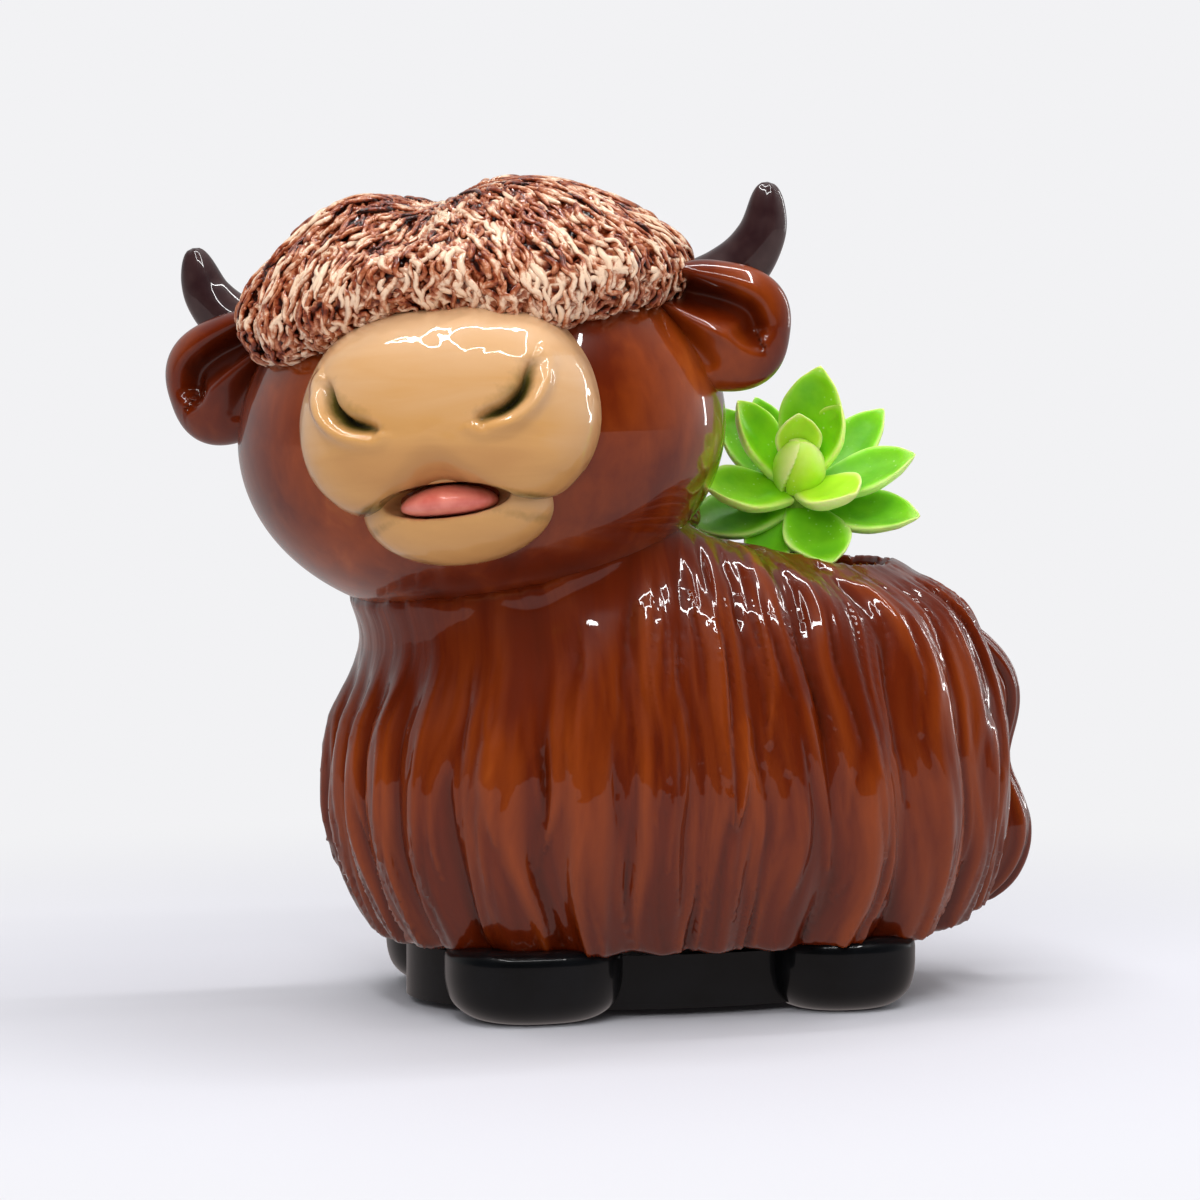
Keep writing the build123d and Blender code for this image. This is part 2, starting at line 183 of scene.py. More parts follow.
# Curls that follow one another by this turn never line up.
GOLDEN_ANGLE = 2.399963
# Points along the middle line of a curl, and how far down over the mop, as a share, a curl may reach.
CURL_POINTS = 13
CURL_LOWEST = 0.68
# What is drawn by chance for each curl: length and thickness as shares, wave length and place over the
# mop in millimetres, and how much more or less slip it took.
CURL_LENGTHS = (0.5, 1.35)
CURL_THICKNESS = (0.7, 1.2)
CURL_WAVES = (4.0, 8.0)
CURL_RISE = (-0.55, 0.25)
CURL_SLIP = (-0.50, 0.36)
# How far the front edge of the mop is lifted, by place across the head, in millimetres.
MOP_EDGE = (
    (-50, 4),
    (-44, -2.5),
    (-37, -4),
    (-28, -1.5),
    (-18, 1.5),
    (-9, 4),
    (0, 4.6),
    (8, 3),
    (17, 0.5),
    (26, 0),
    (34, 1),
    (42, 4.5),
    (50, 6),
)

# How far the whole face sits to the left of the middle of the head.
FACE_LEFT = 2.0
# The muzzle: half width and half height, and how far its root and its front are from the head's middle.
MUZZLE_HALF = (28.5, 21.0)
MUZZLE_MEAN = 26
MUZZLE_ROOT = 22.0
MUZZLE_REACH = 54.3
# Height of the middle of the muzzle at its root, and how much lower it is in front.
MUZZLE_RISE = 3.5
MUZZLE_DROP = 3
# Seen from the front, from the bridge of the nose round a jowl to the lip, as shares.
MUZZLE_OUTLINE = (
    (0.00, 1.05),
    (0.40, 1.00),
    (0.73, 0.79),
    (0.93, 0.42),
    (1.00, 0.04),
    (0.97, -0.30),
    (0.84, -0.59),
    (0.62, -0.77),
    (0.31, -0.66),
    (0.00, -0.55),
)
# Seen from the side, from the front back to the root and round behind it, as shares.
MUZZLE_DOME = (
    (1.00, 0.00),
    (0.985, 0.27),
    (0.93, 0.55),
    (0.83, 0.77),
    (0.66, 0.93),
    (0.42, 1.00),
    (0.00, 0.97),
    (-0.10, 0.70),
    (-0.12, 0.00),
)
# The nostril on one side: its line, its depth, and the wing that is raised beside it.
NOSTRIL = ((19.6, 10.6), (18.4, 6.6), (15.4, 3.6), (10.4, 1.9))
NOSTRIL_DEPTH = 3.8
NOSTRIL_INNER_WIDTH = 1.1
NOSTRIL_OUTER_WIDTH = 0.75
WING_HEIGHT = 2.0
WING_AWAY = 2.5
WING_WIDTH = 1.4
# The soft hollow over the lip: its depth, its width and its height on the muzzle.
PHILTRUM_DEPTH = 0.9
PHILTRUM_WIDTH = 4.5
PHILTRUM_HEIGHT = -8
# Size of the small facets that the muzzle and the chin are shaped from.
FACE_GRAIN = 0.5
# The line of the closed mouth from one corner to the other: place across and height.
MOUTH_LINE = (
    (-16.5, -14.0),
    (-12.5, -12.6),
    (-7.5, -10.9),
    (0.0, -9.6),
    (7.5, -10.6),
    (12.5, -12.6),
    (18.0, -14.4),
)

# Widths of the sprayed shade, airbrushed paint that is near black as painted shadow where strongest: in a
# nostril, softly beside it, and along the mouth on muzzle and chin.
SPRAY_TIGHT = 0.85
SPRAY_SOFT = 3.6
SPRAY_MUZZLE = 1.3
SPRAY_CHIN = 1.2

# Half sizes and middles of the chin, the mouth slot and the tongue.
CHIN_HALF = (18.5, 14.5, 11.5)
CHIN_MIDDLE = (FACE_LEFT, -33.5, -13.5)
SLOT_HALF = (12.5, 10, 3.2)
SLOT_MIDDLE = (FACE_LEFT, -46, -12.3)
TONGUE_HALF = (9.2, 9.0, 3.0)
TONGUE_MIDDLE = (FACE_LEFT, -41.9, -12.4)
# How far the tongue sags, by the square of the way out from its middle.
TONGUE_SAG = 0.7 / 9**2
# How far below the line of the mouth the sprayed line on the chin runs.
LIP_DROP = 3.6

# The left horn: its middle line, and its radius by share of its length.
HORN_LINE = ((37, 15, 20), (49, 15, 25), (56.5, 15, 32.5), (59, 15, 43))
HORN_RADII = (
    (0.0, 0.0),
    (0.02, 5.0),
    (0.07, 7.3),
    (0.30, 6.7),
    (0.55, 5.5),
    (0.76, 4.4),
    (0.88, 3.5),
    (0.95, 2.5),
    (0.985, 1.4),
    (1.0, 0.0),
)

# The left ear: half sizes, middle and turn, then the lines of its cup, its fold and its ridge.
EAR_HALF = (14.25, 7.0, 12.5)
EAR_POWER = 2.5
EAR_MIDDLE = (48.8, -2, 15.5)
EAR_TURN = math.radians(14)
EAR_CUP = ((-13, 6.8), (-5, 5.6), (1, 4.8), (5.2, 3.4), (7.0, 0.8))
EAR_CUP_DEPTH = 8.6
EAR_CUP_UPPER_WIDTH = 2.1
EAR_CUP_LOWER_WIDTH = 3.7
EAR_FOLD = ((-12, -0.6), (-6, -3.4), (-1.0, -7.4))
EAR_FOLD_DEPTH = 3.2
EAR_FOLD_WIDTH = 1.9
EAR_RIDGE = ((-13, 3.4), (-8.3, 1.8), (-1.0, -1.4), (4.0, -3.4), (9.0, -4.8))
EAR_RIDGE_HEIGHT = 1.9
EAR_RIDGE_WIDTH = 1.6

# The tail: its middle line down the rump, and its radius by share of its length.
TAIL_LINE = ((0, 49, 78.5), (0, 69.5, 61.5), (0, 69.5, 44.5), (0, 71.5, 29.5), (0, 66.5, 16))
TAIL_RADII = (
    (0, 0),
    (0.01, 3.0),
    (0.04, 4.6),
    (0.16, 5.7),
    (0.34, 6.3),
    (0.52, 5.0),
    (0.62, 5.4),
    (0.76, 7.9),
    (0.88, 7.3),
    (0.96, 4.8),
    (0.99, 2.6),
    (1.0, 0.0),
)

# Size of the tail's glaze pattern: round it and along it.
TAIL_FLOW = (6, 14)
# Strands of the tail's rope, how far they twist over its length, and how deep the grooves between are.
TAIL_STRANDS = 5
TAIL_TWIST = 7
TAIL_GROOVE = 0.75

# A hoof: reach and height from the middle of its sole to the middle of its top.
HOOF_OUTLINE = (
    (0, 0),
    (5, 0),
    (8.7, 0.15),
    (11.6, 1.3),
    (13.8, 3.6),
    (14.8, 6.8),
    (15, 10.4),
    (14.7, 13.2),
    (12.5, 14.4),
    (8, 14.4),
    (0, 14.4),
)
HOOF_POWER = 2.3
HOOF_SIDES = (("left", 25), ("right", -25))
# Each row: end of the planter, place along it, and length as a share.
HOOF_ENDS = (("front", -33.2, 1.14), ("rear", 28.8, 1.0))

# Loose soil. Each row: name, body, and the least and most way out from the middle of the mix.
CRUMB_RINGS = (("crumbs_on_mix", "planter", 16.6, 20.5), ("crumbs_on_plug", "plant", 0.0, 14.8))
# Least and most radius of a crumb, and how much wider or flatter than round it may be.
CRUMB_GRAIN = (0.5, 1.5)
CRUMB_WIDE = (0.7, 1.3)
CRUMB_FLAT = (0.5, 0.9)

# A leaf: half its width and its thickness, as shares, by share of its length.
LEAF_OUTLINE = (
    (0, 0),
    (0.005, 0.25),
    (0.03, 0.42),
    (0.22, 0.66),
    (0.48, 0.97),
    (0.66, 0.99),
    (0.84, 0.66),
    (0.94, 0.30),
    (0.985, 0.10),
    (1.0, 0.0),
)
LEAF_DEPTH = (
    (0, 0),
    (0.02, 0.8),
    (0.22, 1.0),
    (0.48, 1.0),
    (0.66, 0.92),
    (0.86, 0.66),
    (0.97, 0.25),
    (1.0, 0.0),
)
# The core that carries leaves and bud: its height, and the turns of the bud's wrap round it.
CORE_HEIGHT = 10
BUD_WRAPS = 3

# Each row: name, turn round the rosette, climb, and length, width and place up the core as shares.
LEAVES = (
    ("leaf_inner_1", 184, 66, 0.54, 0.80, 0.80),
    ("leaf_inner_2", 44, 16, 0.66, 1.12, 0.60),
    ("leaf_middle_1", 128, 46, 0.70, 0.84, 0.62),
    ("leaf_middle_2", -66, 13, 0.84, 1.20, 0.48),
    ("leaf_middle_3", -120, 42, 0.84, 0.92, 0.50),
    ("leaf_middle_4", 160, 55, 1.00, 1.12, 0.40),
    ("leaf_outer_1", 90, 17, 0.97, 1.04, 0.36),
    ("leaf_outer_2", 16, -4, 0.84, 1.16, 0.24),
    ("leaf_outer_3", -158, 16, 0.90, 0.80, 0.24),
    ("leaf_outer_4", -66, -3, 0.94, 1.16, 0.20),
    ("leaf_outer_5", 132, 17, 1.00, 0.96, 0.16),
    ("leaf_outer_6", 69, 3, 1.00, 1.06, 0.12),
    ("leaf_outer_7", -138, 18, 0.97, 0.92, 0.08),
    ("leaf_outer_8", -26, -9, 0.80, 0.92, 0.14),
)

# Each row of leaves: name of its flesh, and its deep, fresh and pale green.
LEAF_FLESH = {
    "inner": ("young_leaf_flesh", "#9be01c", "#c4f038", "#eeffa0"),
    "middle": ("leaf_flesh", "#55b80a", "#98de1a", "#e4ff86"),
    "outer": ("old_leaf_flesh", "#3f9a10", "#84cf20", "#d4f58a"),
}

# The camera looks along this heading and down by this pitch. Lens and sensor are in millimetres.
CAMERA_HEADING = (-0.9613, 0.2756)
CAMERA_PITCH = math.radians(-3.33)
CAMERA_LENS = 120
CAMERA_SENSOR = 36
# A rectangle of strip lamps over the planter, in metres: middle, length, depth, strip and glow.
FRAME_MIDDLE = (0.22, 0.0, 0.95)
FRAME_ACROSS = 0.74
FRAME_DEPTH = 0.66
FRAME_STRIP = 0.034
FRAME_GLOW = 34.0
# Each row: name, place, aim, size, watts, and whether glazes mirror it.
LAMPS = (
    ("front_fill", (1.1, -0.55, 0.85), (0.0, 0.0, 0.08), (1.2, 0.9), 11.0, False),
    ("strip_side", (-0.40, 1.1, 0.42), (0.0, 0.0, 0.08), (0.05, 0.7), 1.5, True),
    ("side_fill", (0.35, 1.2, 0.6), (0.0, 0.0, 0.07), (0.7, 0.7), 2.2, False),
)
FLOOR_SIZE = 6
# Within the first way from the middle the floor is paper, past the second it is all backdrop.
FLOOR_FADE = (0.09, 0.33)
# Where the darker opening of the tent lies, towards the eye and a little up.
TENT_OPENING = (0.90, -0.26, 0.34)


def size(name, about, millimetres):
    """A length that the user can change."""
    return FloatProperty(
        name=name,
        description=about,
        default=millimetres * MM,
        unit="LENGTH",
        subtype="DISTANCE",
        precision=5,
    )


def colour(name, about, code):
    """A colour that the user can change."""
    return FloatVectorProperty(
        name=name, description=about, default=linear(code)[:3], subtype="COLOR", size=3, min=0, max=1
    )


def linear(code):
    """Linear RGBA from an sRGB hex code."""
    parts = [int(code[k : k + 2], 16) / 255 for k in (1, 3, 5)]
    return tuple(p / 12.92 if p <= 0.04045 else ((p + 0.055) / 1.055) ** 2.4 for p in parts) + (1.0,)


# Shaping


def only(piece):
    """Leaves one object selected and active."""
    if bpy.context.mode != "OBJECT":
        bpy.ops.object.mode_set(mode="OBJECT")
    bpy.ops.object.select_all(action="DESELECT")
    piece.select_set(True)
    bpy.context.view_layer.objects.active = piece


def ball(name, segments, rings):
    """A unit ball to be shaped into a piece. Its top pole is the first end of the piece."""
    bpy.ops.object.select_all(action="DESELECT")
    bpy.ops.mesh.primitive_uv_sphere_add(segments=segments, ring_count=rings, radius=1)
    piece = bpy.context.active_object
    piece.name = piece.data.name = name
    return piece


def points_of(piece):
    """Places of all points of a piece, one row each."""
    points = np.zeros(len(piece.data.vertices) * 3, np.float32)
    piece.data.vertices.foreach_get("co", points)
    return points.reshape(-1, 3).astype(float)


def normals_of(piece):
    """Which way is out at each point of a piece."""
    normals = np.zeros(len(piece.data.vertices) * 3, np.float32)
    piece.data.vertex_normals.foreach_get("vector", normals)
    return normals.reshape(-1, 3).astype(float)


def move_points(piece, points):
    """Puts all points of a piece in their new places."""
    piece.data.vertices.foreach_set("co", np.asarray(points, np.float32).ravel())
    piece.data.update()


def store(piece, name, values):
    """Keeps a number or a vector for each point, for the glaze to read."""
    kind = "FLOAT_VECTOR" if np.ndim(values) == 2 else "FLOAT"
    kept = piece.data.attributes.new(name, kind, "POINT")
    kept.data.foreach_set(
        "vector" if kind == "FLOAT_VECTOR" else "value", np.asarray(values, np.float32).ravel()
    )


def outward(piece):
    """Turns all faces of a closed piece outwards."""
    only(piece)
    bpy.ops.object.mode_set(mode="EDIT")
    bpy.ops.mesh.select_all(action="SELECT")
    bpy.ops.mesh.normals_make_consistent(inside=False)
    bpy.ops.object.mode_set(mode="OBJECT")


def use(piece, kind, **settings):
    """Adds a modifier with its settings and applies it."""
    only(piece)
    modifier = piece.modifiers.new(kind.lower(), kind)
    for key, value in settings.items():
        setattr(modifier, key, value)
    bpy.ops.object.modifier_apply(modifier=modifier.name)


def cover(piece, finish):
    """Gives a piece one finish all over."""
    piece.data.materials.clear()
    piece.data.materials.append(finish)


def settle(piece, matrix, finish, body, nodes):
    """Puts a shaped piece in its place on its body, with its finish."""
    piece.data.transform(matrix)
    outward(piece)
    bpy.ops.object.shade_smooth()
    cover(piece, finish)
    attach(piece, body)
    if nodes:
        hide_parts(*nodes)


def take_pattern(piece):
    """The points and faces of a small shape that is to be repeated. The shape itself is removed."""
    points = points_of(piece)
    faces = [tuple(face.vertices) for face in piece.data.polygons]
    bpy.data.objects.remove(piece)
    return points, faces


def repeated(name, copies, faces):
    """One piece from many copies of a pattern, each given by its points."""
    skins = [
        tuple(corner + step * len(points) for corner in face)
        for step, points in enumerate(copies)
        for face in faces
    ]
    mesh = bpy.data.meshes.new(name)
    mesh.from_pydata(np.vstack(copies).tolist(), [], skins)
    piece = bpy.data.objects.new(name, mesh)
    bpy.context.scene.collection.objects.link(piece)
    return piece


def angles(points):
    """Turn round the ball and place from its top pole to its bottom one."""
    return np.arctan2(points[:, 1], points[:, 0]), np.arccos(np.clip(points[:, 2], -1, 1)) / math.pi


def squared(turn, power):
    """How far a rounded square reaches past its circle at each turn."""
    return (np.abs(np.cos(turn)) ** power + np.abs(np.sin(turn)) ** power) ** (-1 / power)


def smooth_path(points, count):
    """Evenly spaced points on a smooth curve through the given ones."""
    points = np.asarray(points, float)
    ends = np.vstack([2 * points[0] - points[1], points, 2 * points[-1] - points[-2]])
    step = np.linspace(0, 1, 33)[:, None]
    runs = []
    for a, b, c, d in zip(ends, ends[1:], ends[2:], ends[3:]):
        bend = 2 * a - 5 * b + 4 * c - d
        twist = 3 * b - a - 3 * c + d
        runs.append(0.5 * (2 * b + (c - a) * step + bend * step**2 + twist * step**3))
    dense = np.vstack(runs)
    along = np.concatenate([[0], np.cumsum(np.linalg.norm(np.diff(dense, axis=0), axis=1))])
    where = np.linspace(0, along[-1], count)
    return np.column_stack([np.interp(where, along, column) for column in dense.T])


def read_path(path, share):
    """The point of an even path at each share of its length."""
    places = np.linspace(0, 1, len(path))
    return np.column_stack([np.interp(share, places, column) for column in path.T])


def smoothstep(low, high, value):
    """Rises softly from 0 at the low value to 1 at the high one."""
    share = np.clip((value - low) / (high - low), 0, 1)
    return share * share * (3 - 2 * share)


def ripple(points, wave, shift=0.0):
    """Soft noise from -1 to 1 with lumps about as wide as wave."""
    off = Vector((shift, 0.37 * shift, -0.71 * shift))
    return np.array([noise.noise(Vector(p) / wave + off) for p in points])


def from_line(across, rise, line, count=80):
    """Distance from a drawn line, place along it, and the side it lies on."""
    path = smooth_path(line, count)
    away = np.stack([across[:, None] - path[:, 0], rise[:, None] - path[:, 1]], axis=2)
    gap = np.linalg.norm(away, axis=2)
    nearest = gap.argmin(axis=1)
    run = np.gradient(path, axis=0)[nearest]
    off = away[np.arange(len(across)), nearest]
    side = np.sign(run[:, 0] * off[:, 1] - run[:, 1] * off[:, 0])
    return gap.min(axis=1), nearest / (count - 1), side


def rod(name, line, radii, segments, rings, side=(0, 1, 0)):
    """A round rod along a line. Its radii go from nothing to nothing, so both ends are closed."""
    piece = ball(name, segments, rings)
    turn, place = angles(points_of(piece))
    path = smooth_path(line, 200)
    run = np.gradient(path, axis=0)
    run /= np.linalg.norm(run, axis=1)[:, None]
    across = np.cross(run, side)
    across /= np.linalg.norm(across, axis=1)[:, None]
    lift = np.cross(across, run)
    profile = smooth_path(radii, 200)
    radius = np.interp(place, profile[:, 0], profile[:, 1])
    centre = read_path(path, place)
    out = read_path(across, place) * np.cos(turn)[:, None] + read_path(lift, place) * np.sin(turn)[:, None]
    move_points(piece, centre + out * radius[:, None])
    return piece, turn, place


# Glazes and finishes


# Colour sockets of the Mix node. By name they can't be told from its others.
MIX_FIRST = 6
MIX_SECOND = 7
MIX_RESULT = 2


def node(tree, kind, inputs=None, **settings):
    """Adds a shader node with its settings, values and links."""
    made = tree.nodes.new(kind)
    for key, value in settings.items():
        setattr(made, key, value)
    for key, value in (inputs or {}).items():
        if isinstance(value, bpy.types.NodeSocket):
            tree.links.new(value, made.inputs[key])
        else:
            made.inputs[key].default_value = value
    return made


def ramp(tree, value, stops):
    """Colours along a value, from (place, linear colour) rows."""
    made = node(tree, "ShaderNodeValToRGB", {"Fac": value})
    elements = made.color_ramp.elements
    while len(elements) < len(stops):
        elements.new(0.5)
    for element, (place, tint) in zip(elements, stops):
        element.position = place
        element.color = tint
    return made.outputs["Color"]


def blank(name):
    """An empty material with its shader and output joined."""
    finish = bpy.data.materials.new(name)
    finish.use_nodes = True
    tree = finish.node_tree
    tree.nodes.clear()
    shader = node(tree, "ShaderNodeBsdfPrincipled")
    node(tree, "ShaderNodeOutputMaterial", {"Surface": shader.outputs["BSDF"]})
    return finish, tree, shader


def solid(tint):
    """A colour of the panel with its alpha."""
    return (*tint, 1.0)


def clear_glaze(shader, roughness=0.3):
    """Fired clear glaze: a thin layer of glass over the colour, so highlights are sharp."""
    shader.inputs["Roughness"].default_value = roughness
    shader.inputs["IOR"].default_value = 1.5
    shader.inputs["Specular IOR Level"].default_value = 0.12
    shader.inputs["Coat Weight"].default_value = 1.0
    shader.inputs["Coat Roughness"].default_value = 0.022
    shader.inputs["Coat IOR"].default_value = 1.5


def brown_glaze(name, flow):
    """Treacle-brown glaze on earthenware: deep where it pools, warm where it runs thin over an edge, and
    darker in the ear hollows as painted shade.
    """
    look = bpy.context.scene.planter_glaze
    finish, tree, shader = blank(name)
    if flow:
        place = node(tree, "ShaderNodeAttribute", attribute_name="flow").outputs["Vector"]
        relief = node(tree, "ShaderNodeAttribute", attribute_name="relief").outputs["Fac"]
    else:
        coordinates = node(tree, "ShaderNodeTexCoord").outputs["Object"]
        place = node(
            tree, "ShaderNodeMapping", {"Vector": coordinates, "Scale": (1.0, 1.0, 0.55)}
        ).outputs["Vector"]
        painted_hollow_shade = node(tree, "ShaderNodeAttribute", attribute_name="hollow").outputs["Fac"]
    # Brush streaks about 5 mm wide, and broad clouds about 25 mm wide.
    streak = node(
        tree,
        "ShaderNodeTexNoise",
        {"Vector": place, "Scale": 1 / (5 * MM), "Detail": 4.0, "Roughness": 0.55, "Distortion": 0.4},
    ).outputs["Fac"]
    cloud = node(
        tree, "ShaderNodeTexNoise", {"Vector": place, "Scale": 1 / (26 * MM), "Detail": 2.0}
    ).outputs["Fac"]
    streak_share = 0.55 if flow else 0.25
    mixed = node(
        tree, "ShaderNodeMix", {"Factor": streak_share, "A": cloud, "B": streak}, data_type="FLOAT"
    ).outputs["Result"]
    if flow:
        mixed = node(
            tree, "ShaderNodeMix", {"Factor": 0.35, "A": mixed, "B": relief}, data_type="FLOAT"
        ).outputs["Result"]
    else:
        # Painted shade: darker where the ear is pressed into its cup and fold.
        mixed = node(
            tree, "ShaderNodeMath", {0: painted_hollow_shade, 1: -0.30, 2: mixed}, operation="MULTIPLY_ADD"
        ).outputs["Value"]
    # The smooth parts are coated a little thinner, so they are lighter.
    thin = 0.0 if flow else 0.06
    tint = ramp(
        tree,
        mixed,
        (
            (0.30 - thin, solid(look.brown_deep)),
            (0.50 - thin, solid(look.brown)),
            (0.68 - thin, solid(look.brown_warm)),
            (0.82 - thin, solid(look.brown_thin)),
        ),
    )
    tree.links.new(tint, shader.inputs["Base Color"])
    # Brush marks left in the clay, 1.6 mm wide along the locks and 6 mm on the smooth parts.
    fine = node(
        tree,
        "ShaderNodeTexNoise",
        {"Vector": place, "Scale": 1 / (1.6 * MM if flow else 6 * MM), "Detail": 2.0},
    ).outputs["Fac"]
    bump = node(
        tree,
        "ShaderNodeBump",
        {"Height": fine, "Distance": 0.12 * MM if flow else 0.1 * MM, "Strength": 0.5},
    )
    tree.links.new(bump.outputs["Normal"], shader.inputs["Normal"])
    tree.links.new(bump.outputs["Normal"], shader.inputs["Coat Normal"])
    clear_glaze(shader)
    return finish


def muzzle_glaze():
    """Tan underglaze brushed on in soft bands, airbrushed green-brown in the creases, under clear glaze. It
    is lighter towards the top, with painted light where it faces up, and near black as painted shadow in the
    nostril slits and the mouth corners.
    """
    look = bpy.context.scene.planter_glaze
    finish, tree, shader = blank("tan_underglaze_clear")
    coordinates = node(tree, "ShaderNodeTexCoord").outputs["Object"]
    place = node(
        tree, "ShaderNodeMapping", {"Vector": coordinates, "Scale": (0.35, 0.35, 2.0)}
    ).outputs["Vector"]
    band = node(
        tree,
        "ShaderNodeTexNoise",
        {"Vector": place, "Scale": 1 / (11 * MM), "Detail": 4.0, "Distortion": 0.8},
    ).outputs["Fac"]
    # Lighter towards the top, with painted light where the muzzle and the chin face up.
    lift = node(tree, "ShaderNodeAttribute", attribute_name="lift").outputs["Fac"]
    mixed = node(
        tree, "ShaderNodeMix", {"Factor": 0.60, "A": band, "B": lift}, data_type="FLOAT"
    ).outputs["Result"]
    tint = ramp(
        tree, mixed, ((0.22, solid(look.tan_deep)), (0.46, solid(look.tan)), (0.78, solid(look.tan_pale)))
    )
    shade = node(tree, "ShaderNodeAttribute", attribute_name="shade").outputs["Fac"]
    mottle = node(
        tree, "ShaderNodeTexNoise", {"Vector": coordinates, "Scale": 1 / (2.2 * MM), "Detail": 3.0}
    ).outputs["Fac"]
    sprayed = node(
        tree, "ShaderNodeMath", {0: mottle, 1: 0.35, 2: -0.17}, operation="MULTIPLY_ADD"
    ).outputs["Value"]
    sprayed = node(tree, "ShaderNodeMath", {0: shade, 1: sprayed}, operation="ADD").outputs["Value"]
    green = ramp(tree, sprayed, ((0.10, (0, 0, 0, 1)), (0.62, (1, 1, 1, 1))))
    tinted = node(
        tree,
        "ShaderNodeMix",
        {"Factor": green, MIX_FIRST: tint, MIX_SECOND: solid(look.crease)},
        data_type="RGBA",
    ).outputs[MIX_RESULT]
    # Painted shadow: where the spray is strongest, in the nostril slits and the corners of the mouth, it
    # turns near black.
    black = ramp(tree, sprayed, ((0.55, (0, 0, 0, 1)), (0.95, (1, 1, 1, 1))))
    tinted = node(
        tree,
        "ShaderNodeMix",
        {"Factor": black, MIX_FIRST: tinted, MIX_SECOND: solid(look.crease_dark)},
        data_type="RGBA",
    ).outputs[MIX_RESULT]
    tree.links.new(tinted, shader.inputs["Base Color"])
    # The glaze ran a little as it melted: low waves about 8 mm wide.
    run = node(
        tree, "ShaderNodeTexNoise", {"Vector": coordinates, "Scale": 1 / (8 * MM), "Detail": 1.5}
    ).outputs["Fac"]
    bump = node(tree, "ShaderNodeBump", {"Height": run, "Distance": 1.0 * MM, "Strength": 0.9})
    tree.links.new(bump.outputs["Normal"], shader.inputs["Coat Normal"])
    clear_glaze(shader, 0.32)
    return finish


def plain_glaze(name, deep, light, grain, gloss=1.0):
    """A glaze in clouds of the given width in millimetres, from a panel colour to a lighter hex code."""
    finish, tree, shader = blank(name)
    coordinates = node(tree, "ShaderNodeTexCoord").outputs["Object"]
    cloud = node(
        tree, "ShaderNodeTexNoise", {"Vector": coordinates, "Scale": 1 / (grain * MM), "Detail": 3.0}
    ).outputs["Fac"]
    tint = ramp(tree, cloud, ((0.35, solid(deep)), (0.65, linear(light))))
    tree.links.new(tint, shader.inputs["Base Color"])
    fine = node(
        tree, "ShaderNodeTexNoise", {"Vector": coordinates, "Scale": 1 / (5 * MM), "Detail": 1.0}
    ).outputs["Fac"]
    bump = node(tree, "ShaderNodeBump", {"Height": fine, "Distance": 0.08 * MM, "Strength": 0.5})
    tree.links.new(bump.outputs["Normal"], shader.inputs["Coat Normal"])
    clear_glaze(shader, 0.35)
    shader.inputs["Coat Weight"].default_value = gloss
    return finish


def curl_glaze():
    """Cream slip dry-brushed over raised curls, whiter along the left of the front edge as a painted
    highlight, brown glaze left in the hollows, under clear glaze.
    """
    look = bpy.context.scene.planter_glaze
    finish, tree, shader = blank("dry_brushed_curl_glaze")
    coordinates = node(tree, "ShaderNodeTexCoord").outputs["Object"]
    crest = node(tree, "ShaderNodeAttribute", attribute_name="crest").outputs["Fac"]
    cream = node(tree, "ShaderNodeAttribute", attribute_name="cream").outputs["Fac"]
    patch = node(
        tree,
        "ShaderNodeTexNoise",
        {"Vector": coordinates, "Scale": 1 / (1.3 * MM), "Detail": 4.0, "Roughness": 0.65},
    ).outputs["Fac"]
    worn = node(
        tree, "ShaderNodeMath", {0: patch, 1: 0.9, 2: -0.62}, operation="MULTIPLY_ADD"
    ).outputs["Value"]
    height = node(
        tree, "ShaderNodeMath", {0: crest, 1: 0.72, 2: worn}, operation="MULTIPLY_ADD"
    ).outputs["Value"]
    height = node(
        tree, "ShaderNodeMath", {0: cream, 1: 0.50, 2: height}, operation="MULTIPLY_ADD"
    ).outputs["Value"]
    tint = ramp(
        tree,
        height,
        (
            (0.16, solid(look.hollow)),
            (0.38, solid(look.curl_brown)),
            (0.60, solid(look.curl_rose)),
            (0.84, solid(look.cream)),
        ),
    )
    tree.links.new(tint, shader.inputs["Base Color"])
    grain = node(
        tree, "ShaderNodeTexNoise", {"Vector": coordinates, "Scale": 1 / (0.9 * MM), "Detail": 2.0}
    ).outputs["Fac"]
    bump = node(tree, "ShaderNodeBump", {"Height": grain, "Distance": 0.25 * MM, "Strength": 0.6})
    tree.links.new(bump.outputs["Normal"], shader.inputs["Normal"])
    clear_glaze(shader, 0.42)
    tree.links.new(bump.outputs["Normal"], shader.inputs["Coat Normal"])
    shader.inputs["Coat Roughness"].default_value = 0.07
    return finish


